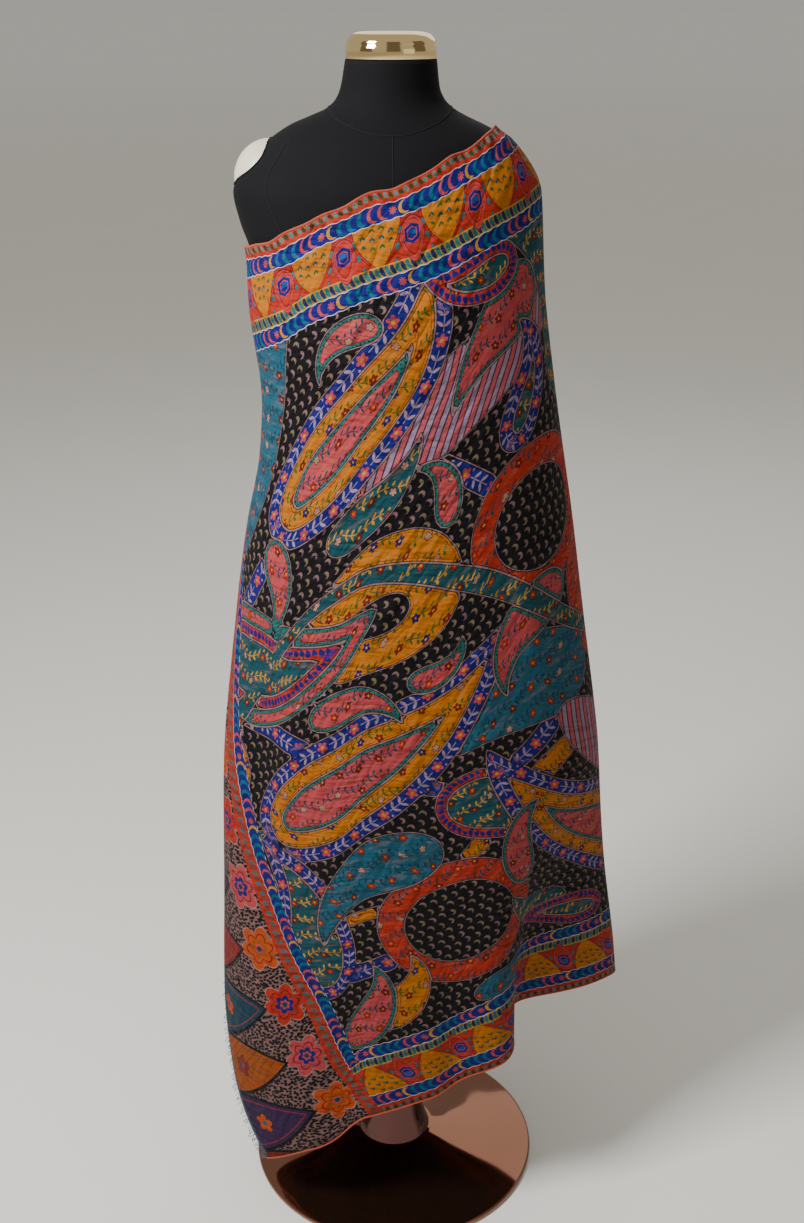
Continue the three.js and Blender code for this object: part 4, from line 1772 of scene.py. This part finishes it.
@dataclass
class LineWork:
    """Geometry Nodes that follow a line: a swept tube, hanging threads or a row of stitches."""

    kind: LineKind
    finish: Material
    size: float = 0
    radius: float = 0.001
    spacing: float = 0.003
    seed: int = 7

    def tree(self) -> tuple[NodeTree, dict[str, object]]:
        """Builds the tree.

        Returns:
            The tree, and its inputs' values by name.
        """
        tree = bpy.data.node_groups.new("line " + self.kind.value, "GeometryNodeTree")
        tree.interface.new_socket(name="Line", in_out="INPUT", socket_type="NodeSocketGeometry")
        values: dict[str, object] = {"Radius": self.radius}
        if self.kind is not LineKind.TUBE:
            values |= {"Size": self.size, "Spacing": self.spacing, "Seed": self.seed}
        for name, value in values.items():
            kind = "NodeSocketInt" if isinstance(value, int) else "NodeSocketFloat"
            tree.interface.new_socket(name=name, in_out="INPUT", socket_type=kind)
        tree.interface.new_socket(name="Result", in_out="OUTPUT", socket_type="NodeSocketGeometry")
        into, out = tree.nodes.new("NodeGroupInput"), tree.nodes.new("NodeGroupOutput")
        link = tree.links.new
        curve = tree.nodes.new("GeometryNodeMeshToCurve")
        link(into.outputs["Line"], curve.inputs[0])
        ring = tree.nodes.new("GeometryNodeCurvePrimitiveCircle")
        ring.inputs["Resolution"].default_value = 4 if self.kind is LineKind.THREADS else 8
        link(into.outputs["Radius"], ring.inputs["Radius"])
        sweep = tree.nodes.new("GeometryNodeCurveToMesh")
        sweep.inputs["Fill Caps"].default_value = True
        link(ring.outputs[0], sweep.inputs["Profile Curve"])
        result = sweep.outputs[0]
        if self.kind is LineKind.TUBE:
            link(curve.outputs[0], sweep.inputs["Curve"])
        else:
            result = self._instances(tree, into, curve.outputs[0], sweep)
        real = tree.nodes.new("GeometryNodeRealizeInstances")
        link(result, real.inputs[0])
        shade = tree.nodes.new("GeometryNodeSetShadeSmooth")
        link(real.outputs[0], shade.inputs[0])
        dress = tree.nodes.new("GeometryNodeSetMaterial")
        dress.inputs["Material"].default_value = self.finish
        link(shade.outputs[0], dress.inputs["Geometry"])
        link(dress.outputs[0], out.inputs["Result"])
        return tree, values

    def _instances(
        self,
        tree: NodeTree,
        into: Node,
        curve: NodeSocket,
        sweep: Node,
    ) -> NodeSocket:
        """Places one bent thread or stitch at each step along the line.

        Args:
            tree: The tree to draw in.
            into: Its group input.
            curve: The line as a curve.
            sweep: The node that gives one thread its thickness.

        Returns:
            The socket with all the instances.
        """
        link = tree.links.new
        thread = tree.nodes.new("GeometryNodeCurveQuadraticBezier")
        thread.inputs["Resolution"].default_value = 4 if self.kind is LineKind.THREADS else 3
        bend = 0.28 if self.kind is LineKind.THREADS else 0.6
        thread.inputs["Start"].default_value = (0, 0, 0)
        thread.inputs["Middle"].default_value = (bend, 0, 0.5)
        thread.inputs["End"].default_value = (0, 0, 1)
        grow = tree.nodes.new("GeometryNodeTransform")
        scale = tree.nodes.new("ShaderNodeCombineXYZ")
        for socket in scale.inputs:
            link(into.outputs["Size"], socket)
        link(scale.outputs[0], grow.inputs["Scale"])
        link(thread.outputs[0], grow.inputs[0])
        link(grow.outputs[0], sweep.inputs["Curve"])
        even = tree.nodes.new("GeometryNodeResampleCurve")
        even.mode = "LENGTH"
        link(curve, even.inputs["Curve"])
        link(into.outputs["Spacing"], even.inputs["Length"])
        place = tree.nodes.new("GeometryNodeInstanceOnPoints")
        link(even.outputs[0], place.inputs["Points"])
        link(sweep.outputs[0], place.inputs["Instance"])
        lean = tree.nodes.new("GeometryNodeInputNamedAttribute")
        lean.data_type = "FLOAT_VECTOR"
        lean.inputs["Name"].default_value = "lean"
        stray = tree.nodes.new("FunctionNodeRandomValue")
        stray.data_type = "FLOAT_VECTOR"
        spread = 0.3 if self.kind is LineKind.THREADS else 0.05
        stray.inputs[0].default_value = (-spread,) * 3
        stray.inputs[1].default_value = (spread,) * 3
        link(into.outputs["Seed"], stray.inputs["Seed"])
        add = tree.nodes.new("ShaderNodeVectorMath")
        link(lean.outputs[0], add.inputs[0])
        link(stray.outputs[0], add.inputs[1])
        turn = tree.nodes.new("FunctionNodeAlignRotationToVector")
        turn.axis = "Z"
        link(add.outputs[0], turn.inputs["Vector"])
        link(turn.outputs[0], place.inputs["Rotation"])
        vary = tree.nodes.new("FunctionNodeRandomValue")
        vary.inputs[2].default_value = 0.62
        vary.inputs[3].default_value = 1.0
        link(into.outputs["Seed"], vary.inputs["Seed"])
        link(vary.outputs[1], place.inputs["Scale"])
        return place.outputs[0]

    def make(self, name: str, lines: Sequence[Array], leans: Optional[Sequence[Array]] = None) -> Object:
        """Makes the piece.

        Args:
            name: Its name.
            lines: The lines it follows, in millimetres.
            leans: For threads and stitches, the direction each leans in, point by point.

        Returns:
            The finished mesh piece.
        """
        points, ties, start = [], [], 0
        for line in lines:
            points.extend((line * MM).tolist())
            ties.extend((start + i, start + i + 1) for i in range(len(line) - 1))
            start += len(line)
        guide_mesh = bpy.data.meshes.new(name + " guide")
        guide_mesh.from_pydata(points, ties, [])
        if leans is not None:
            lean = guide_mesh.attributes.new("lean", "FLOAT_VECTOR", "POINT")
            lean.data.foreach_set("vector", np.concatenate(leans).astype(np.float32).ravel())
        guide = bpy.data.objects.new(name + " guide", guide_mesh)
        bpy.context.scene.collection.objects.link(guide)
        tree, values = self.tree()
        work = guide.modifiers.new("line work", "NODES")
        work.node_group = tree
        sockets = {s.name: s.identifier for s in tree.interface.items_tree if s.item_type == "SOCKET"}
        for label, value in values.items():
            work[sockets[label]] = value
        graph = bpy.context.evaluated_depsgraph_get()
        mesh = bpy.data.meshes.new_from_object(guide.evaluated_get(graph))
        mesh.name = name
        bpy.data.objects.remove(guide)
        piece = bpy.data.objects.new(name, mesh)
        bpy.context.scene.collection.objects.link(piece)
        return piece


# ---- sub-assemblies


@dataclass
class Shawl:
    """The whole visible cloth, wound from its free end to the end tucked under."""

    columns: tuple[int, ...] = (84, 50, 14, 92)
    rows: int = 188
    thickness: float = 1.2
    stand_off: float = 0.4
    deepest_crease: float = 0.6
    fringe_length: float = 17.0
    heights: HeightMap = field(default_factory=HeightMap)
    points: Array = field(init=False)
    normals: Array = field(init=False)
    u: Array = field(init=False)
    v: Array = field(init=False)

    def lines(self, share: Array) -> list[Array]:
        """Angles of the lines down the cloth that its columns are spread between.

        Args:
            share: The shares of the way down the cloth.

        Returns:
            The angles of each line.
        """
        end = free_end(share)
        return [
            end,
            mixed(40.0, 43.0, share),
            mixed(86.0, 101.0, share),
            100 + 30 * share,
            end + 360 + lap_angle(share),
        ]

    def lift(self, degrees: Array, share: Array) -> Array:
        """How far the cloth stands off the surface it hangs on.

        Args:
            degrees: Angles round the form.
            share: The shares of the way down the cloth.

        Returns:
            The distance, in millimetres.
        """
        past = degrees - free_end(share)
        lap = lap_angle(share)
        over = LAP_LIFT * (1 - smoothstep(past - lap, 2, 24))
        tuck = TUCK_DEPTH * smoothstep(share, 0.55, 0.9) * smoothstep(degrees, 250, 285)
        return CLOTH_GAP + over - tuck

    def creases(self) -> Array:
        """Small creases laid over the large folds.

        Returns:
            Their height at each point, in millimetres.
        """
        u, v = self.u, self.v
        edge = 1.1 * smoothstep(22 - v, 0, 22) * (np.sin(u / 7.1) + 0.6 * np.sin(u / 4.3 + 1.3))
        slow = 0.7 * np.sin(u / 61 + v / 83) * np.sin(v / 71 - u / 97 + 0.7)
        return edge + slow + sum(crease.over(u, v) for crease in CREASES)

    def grid(self) -> None:
        """Works out the cloth's points, normals and place on the flat cloth."""
        t = np.linspace(0, 1, self.rows + 1)
        share = t * (0.5 + 0.5 * t)
        lines = self.lines(share)
        spans = [
            mixed(lines[k][None], lines[k + 1][None], (np.arange(count) / count)[:, None])
            for k, count in enumerate(self.columns)
        ]
        degrees = np.concatenate([*spans, lines[-1][None]])
        share = np.broadcast_to(share, degrees.shape)
        z = self.heights.at(degrees, share)
        base = hang_point(degrees, z)
        steps = np.linalg.norm(np.diff(base, axis=0), axis=-1)
        self.u = np.concatenate([np.zeros((1, degrees.shape[1])), np.cumsum(steps, 0)])
        self.v = share * CLOTH_WIDTH
        normal = hang_normal(degrees, z)
        lift = self.lift(degrees, share) + self.stand_off
        crease = np.maximum(self.creases(), -self.deepest_crease)
        waves = np.sin(self.u / 13 + 0.6) + 0.6 * np.sin(self.u / 7.3)
        ruffle = 1.5 * smoothstep(30 - self.v, 0, 30) * waves
        self.points = base + normal * (lift + crease)[..., None]
        self.points[..., 2] += ruffle
        across, down = np.gradient(self.points, axis=0), np.gradient(self.points, axis=1)
        self.normals = directions(np.cross(down, across))

    def design(self) -> FieldDesign:
        """Lays out the field's large motifs.

        Returns:
            The design.
        """
        work = FieldDesign(self.u, self.v)
        along = np.linspace(120, 2000, 300)
        for ribbon in RIBBONS_UNDER:
            ribbon.lay(work, along)
        for repeat in range(-1, 4):
            for motif in LAYOUT:
                line = motif.outline(FIELD_START + repeat * REPEAT, repeat % 2 == 1)
                if line[:, 0].max() > 100 and line[:, 0].min() < self.u.max():
                    work.motif(line, motif.ring.value)
        RIBBON_OVER.lay(work, along)
        return work

    def cloth(self, finish: Material) -> Object:
        """Builds the cloth.

        Args:
            finish: The printed wool.

        Returns:
            The finished piece, with its print laid out on it.
        """
        self.grid()
        columns, rows = self.u.shape
        outer = self.points + self.normals * self.thickness
        index = np.arange(columns * rows).reshape(columns, rows)
        half = columns * rows
        a, b, c, d = index[:-1, :-1], index[:-1, 1:], index[1:, 1:], index[1:, :-1]
        faces = np.stack([a, b, c, d], -1).reshape(-1, 4).tolist()
        faces += (np.stack([a, d, c, b], -1).reshape(-1, 4) + half).tolist()
        for rim, turned in ((index[:, 0], False), (index[:, -1], True), (index[0], True), (index[-1], False)):
            for p, q in zip(rim[:-1].tolist(), rim[1:].tolist()):
                face = (p, q, q + half, p + half)
                faces.append(face[::-1] if turned else face)
        points = np.concatenate([outer.reshape(-1, 3), self.points.reshape(-1, 3)])
        piece = new_piece("shawl_cloth", points, faces, finish)
        layer = piece.data.uv_layers.new(name="cloth")
        flat = np.stack([self.u.ravel(), self.v.ravel()], -1) * MM
        corners = np.empty(len(piece.data.loops), np.int32)
        piece.data.loops.foreach_get("vertex_index", corners)
        layer.data.foreach_set("uv", flat[corners % half].astype(np.float32).ravel())
        self.design().store(piece, 2)
        set_values(piece, "reverse", np.repeat([0.0, 1.0], half))
        return piece

    def fringe(self, finish: Material) -> Object:
        """Builds the threads that hang from the free end.

        Args:
            finish: The fringe's wool.

        Returns:
            The piece.
        """
        edge = self.points[0] + self.normals[0] * self.thickness / 2
        lean = directions(self.points[0] - self.points[1]) + np.array([0, 0, -0.55])
        size = self.fringe_length * MM
        work = LineWork(LineKind.THREADS, finish, size, radius=0.00045, spacing=0.0022, seed=11)
        return work.make("end_fringe_threads", [edge], [lean])

    def hem(self, finish: Material) -> Object:
        """Builds the narrow rolled hem along both long edges.

        Args:
            finish: The hem's wool.

        Returns:
            The piece.
        """
        middle = self.points + self.normals * self.thickness / 2
        work = LineWork(LineKind.TUBE, finish, radius=0.00125)
        return work.make("rolled_hem", [middle[:, 0], middle[:, -1]])

    def stitches(self, finish: Material) -> Object:
        """Builds the slanted stitches that hold the rolled hem.

        Args:
            finish: The thread.

        Returns:
            The piece.
        """
        lines, leans = [], []
        for row, beyond in ((0, 1), (-1, -2)):
            edge, inside, normal = self.points[:, row], self.points[:, beyond], self.normals[:, row]
            down, along = directions(inside - edge), directions(np.gradient(edge, axis=0))
            lines.append(edge + normal * (self.thickness + 0.35) + down * 0.6)
            leans.append(down + along * 0.5)
        work = LineWork(LineKind.STITCHES, finish, 0.0028, radius=0.00022, spacing=0.0065, seed=3)
        return work.make("hem_stitches", lines, leans)

    def build(self) -> None:
        wool = PrintedWool().build()
        cloth = seat(self.cloth(wool), "shawl_print", "shawl_front", "shawl_back")
        threads = Yarn("fringe wool", (0.03, 0.06, 0.075), (0.11, 0.14, 0.15)).build()
        fringe = seat(self.fringe(threads), "fringe_wool", "end_fringe")
        coral = Yarn("hem wool", Dye.CORAL.colour, Dye.TANGERINE.colour, 60).build()
        hem = seat(self.hem(coral), "shawl_print")
        thread = Yarn("hem thread", Dye.BRICK.colour, Dye.BUTTER.colour, 400).build()
        stitches = seat(self.stitches(thread), "shawl_print")


@dataclass
class DressForm:
    """The covered body, its seams, the pale end of its right shoulder and the neck cap."""

    around: int = 160
    levels: int = 150
    neck_top: float = 1372.0
    cap_radius: float = 46.3
    cap_band: float = 14.0
    cap_dome: float = 13.0
    shoulder: tuple[float, float, float] = (-125, 4, 1256)
    shoulder_size: tuple[float, float, float] = (38, 36, 40)
    seam_foot: float = 640
    seam_turn: tuple[float, float] = (1130, 1300)
    neck_seam: float = 1327

    def cover(self, finish: Material) -> Object:
        """Builds the covered body.

        Args:
            finish: The jersey.

        Returns:
            The piece.
        """
        keys = np.array([row[0] for row in BODY.rows])
        heights = np.interp(np.linspace(0, len(keys) - 1, self.levels), np.arange(len(keys)), keys)
        degrees = np.arange(self.around) * 360 / self.around
        grid = on_axis(
            degrees[None] + 0 * heights[:, None],
            body_radius(degrees[None], heights[:, None]),
            heights[:, None],
        )
        n, top = self.around, (self.levels - 1) * self.around
        faces = band_faces(self.levels, n)
        faces += [tuple(range(n))[::-1], tuple(range(top, top + n))]
        return new_piece("form_cover", grid.reshape(-1, 3), faces, finish)

    def down_the_form(self, lower: float, upper: float, high: float) -> Array:
        """A line down the form's surface, sunk a little, that turns as it nears the neck.

        Args:
            lower: The angle it runs at below.
            upper: The angle it runs at by the neck.
            high: The height it starts at, in millimetres.

        Returns:
            Its points.
        """
        z = np.linspace(self.seam_foot, high, 90)
        angle = mixed(lower, upper, smoothstep(z, *self.seam_turn))
        return on_axis(angle, body_radius(angle, z) + 0.1, z)

    def seams(self, finish: Material) -> Object:
        """Builds the cover's raised seams: centre front, centre back, princess lines and neck.

        Args:
            finish: The seams' jersey.

        Returns:
            The piece.
        """
        lines = [self.down_the_form(1.5, 1.5, 1303), self.down_the_form(180, 180, 1318)]
        for side in (-1, 1):
            for lower, upper in ((44, 69), (134, 116)):
                lines.append(self.down_the_form(side * lower, side * upper, 1300))
        around = np.linspace(-180, 180, 121)
        turn = np.cos(np.radians(around))
        ring = self.neck_seam - np.where(turn > 0, 24, 8) * turn**2
        lines.append(on_axis(around, body_radius(around, ring) + 0.1, ring))
        work = LineWork(LineKind.TUBE, finish, radius=0.0006)
        return work.make("cover_seams", lines)

    def shoulder_rim(self) -> Array:
        """The line where the pale shoulder end comes out of the cover.

        Returns:
            The line's points.
        """
        centre, size = np.array(self.shoulder), np.array(self.shoulder_size)
        found = []
        for turn in np.linspace(0, 2 * math.pi, 97):
            tilt = np.linspace(0.02, 2.2, 400)
            unit = np.stack([-np.cos(tilt), np.sin(tilt) * math.cos(turn), np.sin(tilt) * math.sin(turn)], -1)
            p = centre + unit * size
            angle = np.degrees(np.arctan2(p[:, 0], -p[:, 1]))
            outside = np.hypot(p[:, 0], p[:, 1]) - body_radius(angle, p[:, 2]) > 0
            last = int(np.argmin(outside)) if not outside.all() else len(tilt) - 1
            found.append(p[last])
        return np.array(found)

    def shoulder_end(self, finish: Material) -> Object:
        """Builds the pale shoulder end, whose inner side is hidden in the cover.

        Args:
            finish: The pale shell.

        Returns:
            The piece.
        """
        rim = self.shoulder_rim()[:-1]
        centre, size = np.array(self.shoulder), np.array(self.shoulder_size)
        pole = centre + np.array([-size[0], 0, 0])
        rings = []
        for t in np.linspace(0.04, 1, 30):
            unit = (rim - centre) / size
            rings.append(centre + directions(unit * t + np.array([-1.0, 0, 0]) * (1 - t)) * size)
        rings.append(rings[-1] + np.array([9.0, 0, 0]))
        n = len(rim)
        points = np.concatenate([pole[None], *rings, (rings[-1].mean(0))[None]])
        faces = [(0, 1 + (i + 1) % n, 1 + i) for i in range(n)] + band_faces(len(rings), n, 1)
        last = 1 + (len(rings) - 1) * n
        faces += [(last + i, last + (i + 1) % n, len(points) - 1) for i in range(n)]
        piece = new_piece("shoulder_end_shell", points, faces, finish)
        mesh = piece.data
        if sum(p.normal.dot(p.center - Vector(centre * MM)) for p in mesh.polygons[: n * 20]) < 0:
            mesh.flip_normals()
        return piece

    def build(self) -> None:
        """Builds and dresses the dress form."""
        jersey = Jersey().build()
        seat(self.cover(jersey), "form_cover", "torso")
        seam = Jersey("jersey seam", (0.008, 0.008, 0.0095), (0.022, 0.021, 0.024)).build()
        seat(self.seams(seam), "form_cover")
        shell = Polished("pale shell", (0.68, 0.63, 0.5), (0.6, 0.55, 0.42), 0, 0.35, 0.3).build()
        seat(self.shoulder_end(shell), "form_shell", "shoulder_end")
        binding = LineWork(LineKind.TUBE, jersey, radius=0.0012)
        seat(binding.make("cover_binding", [self.shoulder_rim()]), "form_cover")
        gold = Polished("cap gold", (0.96, 0.74, 0.38), (0.9, 0.64, 0.3), 1, 0.05, 0.1).build()
        z, r = self.neck_top + 0.3, self.cap_radius
        rim = z + self.cap_band
        lip = [(r - 0.8, z), (r, z + 0.8), (r, rim - 1.2), (r - 0.7, rim - 0.2)]
        rises = ((0.7, 0.5), (1.8, 4), (5.8, 8.7), (9, 10.2), (16, 11.9), (30, 12.7))
        crown = [(r - inset, rim + rise) for inset, rise in rises]
        dome = rounded([*crown, (2, rim + self.cap_dome - 0.1)], 8)
        profile = [(0, z), (r - 3, z), *lip, *dome, (0, rim + self.cap_dome - 0.2)]
        seat(turned_piece("neck_cap_metal", profile, gold), "cap_gold", "neck_cap")


@dataclass
class Stand:
    """The round base, its bell and collar, the pole and the plate under the form."""

    base_radius: float = 183.0
    base_edge: float = 5.0
    dome_top: float = 31.0
    bell_foot: float = 47.0
    bell_top: float = 112.0
    collar_radius: float = 27.0
    collar_height: float = 20.0
    pole_radius: float = 16.0
    pole_top: float = 603.4
    plate_radius: float = 70.0
    plate_height: float = 8.0
    gap: float = 0.3

    def build(self) -> None:
        """Builds and dresses the stand."""
        metal = Polished("base metal", (0.27, 0.125, 0.078), (0.21, 0.095, 0.06), 0.95, 0.045, 0.1).build()
        # Painted reflection: the bell, collar and pole wear a darker copy of the base metal, standing in for
        # the dark reflections they show.
        reflection_shaded_metal = Polished("dark bronze", (0.12, 0.055, 0.05), (0.09, 0.04, 0.035), 0.95, 0.06, 0.1).build()
        r, edge, foot = self.base_radius, self.base_edge, self.bell_foot
        dome = rounded([(r - 1.4, edge + 1.6), (152, 11), (112, 17), (76, 24), (foot + 3, self.dome_top)], 12)
        base = [(0, 0), (r - 2, 0), (r - 0.5, 0.5), (r, 2), (r, edge), (r - 0.5, edge + 1)]
        base += [*dome, (0, self.dome_top)]
        seat(turned_piece("base_disc", base, metal, 192), "base_metal", "base")
        low = self.dome_top + self.gap
        flare = rounded([(foot, low + 0.6), (39, 56), (32, 86), (self.collar_radius + 2, self.bell_top)], 12)
        bell = [(0, low), (foot - 0.8, low), *flare, (0, self.bell_top)]
        seat(turned_piece("base_bell_metal", bell, reflection_shaded_metal), "base_metal", "base_bell")
        low, r = self.bell_top + self.gap, self.collar_radius
        high = low + self.collar_height
        collar = [(0, low), (r - 1, low), (r, low + 1), (r, high - 2), (r - 0.6, high - 0.6)]
        collar += [(r - 2, high), (0, high)]
        seat(turned_piece("collar_metal", collar, reflection_shaded_metal), "base_metal", "base_collar")
        low, high, r = high + self.gap, self.pole_top, self.pole_radius
        pole = [(0, low), (r - 0.5, low), (r, low + 0.5), (r, high - 0.5), (r - 0.5, high), (0, high)]
        seat(turned_piece("pole_metal", pole, reflection_shaded_metal, 64), "base_metal", "pole")
        low, r = high + self.gap, self.plate_radius
        high = low + self.plate_height
        plate = [(0, low), (r - 1, low), (r, low + 1), (r, high - 1), (r - 1, high), (0, high)]
        seat(turned_piece("hip_plate_metal", plate, metal), "base_metal", "hip_plate")


@dataclass
class Studio:
    """The floor, the lights and the camera."""

    floor_half: float = 400.0
    lens: float = 1480 / 1223 * 36
    stand_point: tuple[float, float, float] = (0.011, -1.588, 1.42)
    tilt: float = 67.8

    def floor(self) -> None:
        """Lays the pale floor."""
        material, c, shader = new_material("floor")
        place = c.object_place()
        near: Shade = c.paint((0.88, 0.863, 0.813), (0.92, 0.903, 0.853), c.noise(place, 2, 3))
        c.put(shader["Base Color"], c.paint(near, (0.97, 0.97, 0.96), c.far(place, 3, 40)))
        shader["Roughness"].default_value = 0.8
        h = self.floor_half / MM
        corners = np.array([(-h, -h, 0), (h, -h, 0), (h, h, 0), (-h, h, 0)])
        floor = new_piece("floor", corners, [(0, 1, 2, 3)], material, False)

    def light(
        self, name: str, place: tuple[float, float, float], aim: float, size: float, power: float
    ) -> None:
        """Hangs one soft square light that faces the form's axis.

        Args:
            name: The light's name.
            place: Where it hangs, in metres.
            aim: The height on the form's axis that it faces.
            size: The side of its square.
            power: Its power in watts.
        """
        data = bpy.data.lights.new(name, "AREA")
        data.size, data.energy = size, power
        lamp = bpy.data.objects.new(name, data)
        lamp.location = place
        lamp.rotation_euler = (Vector((0, 0, aim)) - Vector(place)).to_track_quat("-Z", "Y").to_euler()
        bpy.context.scene.collection.objects.link(lamp)

    def build(self) -> None:
        """Sets up the room."""
        scene = bpy.context.scene
        data = bpy.data.cameras.new("camera")
        data.sensor_width, data.sensor_fit, data.lens = 36, "AUTO", self.lens
        data.clip_end = 2 * self.floor_half
        camera = bpy.data.objects.new("camera", data)
        camera.location = self.stand_point
        camera.rotation_euler = (math.radians(self.tilt), 0, 0)
        scene.collection.objects.link(camera)
        scene.camera = camera
        self.floor()
        self.light("key light", (-1.35, -1.0, 2.35), 1.5, 0.65, 92)
        self.light("fill light", (2.2, -2.1, 1.4), 0.7, 1.6, 3)
        self.light("back light", (0.6, 2.6, 2.8), 0.7, 2.4, 16)
        world = bpy.data.worlds.new("studio")
        scene.world = world
        world.use_nodes = True
        c = Chart(world.node_tree)
        split = c.node("ShaderNodeSeparateXYZ")
        c.put(split.inputs[0], Reading(c, c.node("ShaderNodeTexCoord").outputs["Generated"]))
        x, y, z = (Reading(c, split.outputs[k]) for k in range(3))
        # Pale panels stand round the room, with soft dark gaps that only reflections show.
        panels = (c.angle(y, x) * 5 + 0.6).cos() * 2.4 + 0.5
        panels = c.math("MAXIMUM", c.math("MINIMUM", panels, 1.0), 0.0)
        seen = Reading(c, c.node("ShaderNodeLightPath").outputs["Is Camera Ray"])
        gap = (1 - panels) * (y < 0.3) * (abs(z) < 0.6) * 0.85
        room = c.paint((0.79, 0.765, 0.7), (0.16, 0.12, 0.1), gap)
        back = world.node_tree.nodes["Background"]
        c.put(back.inputs["Color"], c.paint(room, (0.7, 0.677, 0.622), seen))
        back.inputs["Strength"].default_value = 0.56


def corners(box: tuple[Vector, Vector]) -> list[list[float]]:
    """A box's two corners as plain lists."""
    return [[float(x) for x in corner] for corner in box]


def main() -> None:
    """Builds everything in order and notes each piece's size."""
    logging.basicConfig(level=logging.INFO, format="%(name)s: %(message)s", stream=sys.stdout)
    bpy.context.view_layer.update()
    Studio().build()
    Stand().build()
    DressForm().build()
    Shawl().build()
    bpy.context.view_layer.update()


if __name__ == "__main__":
    main()
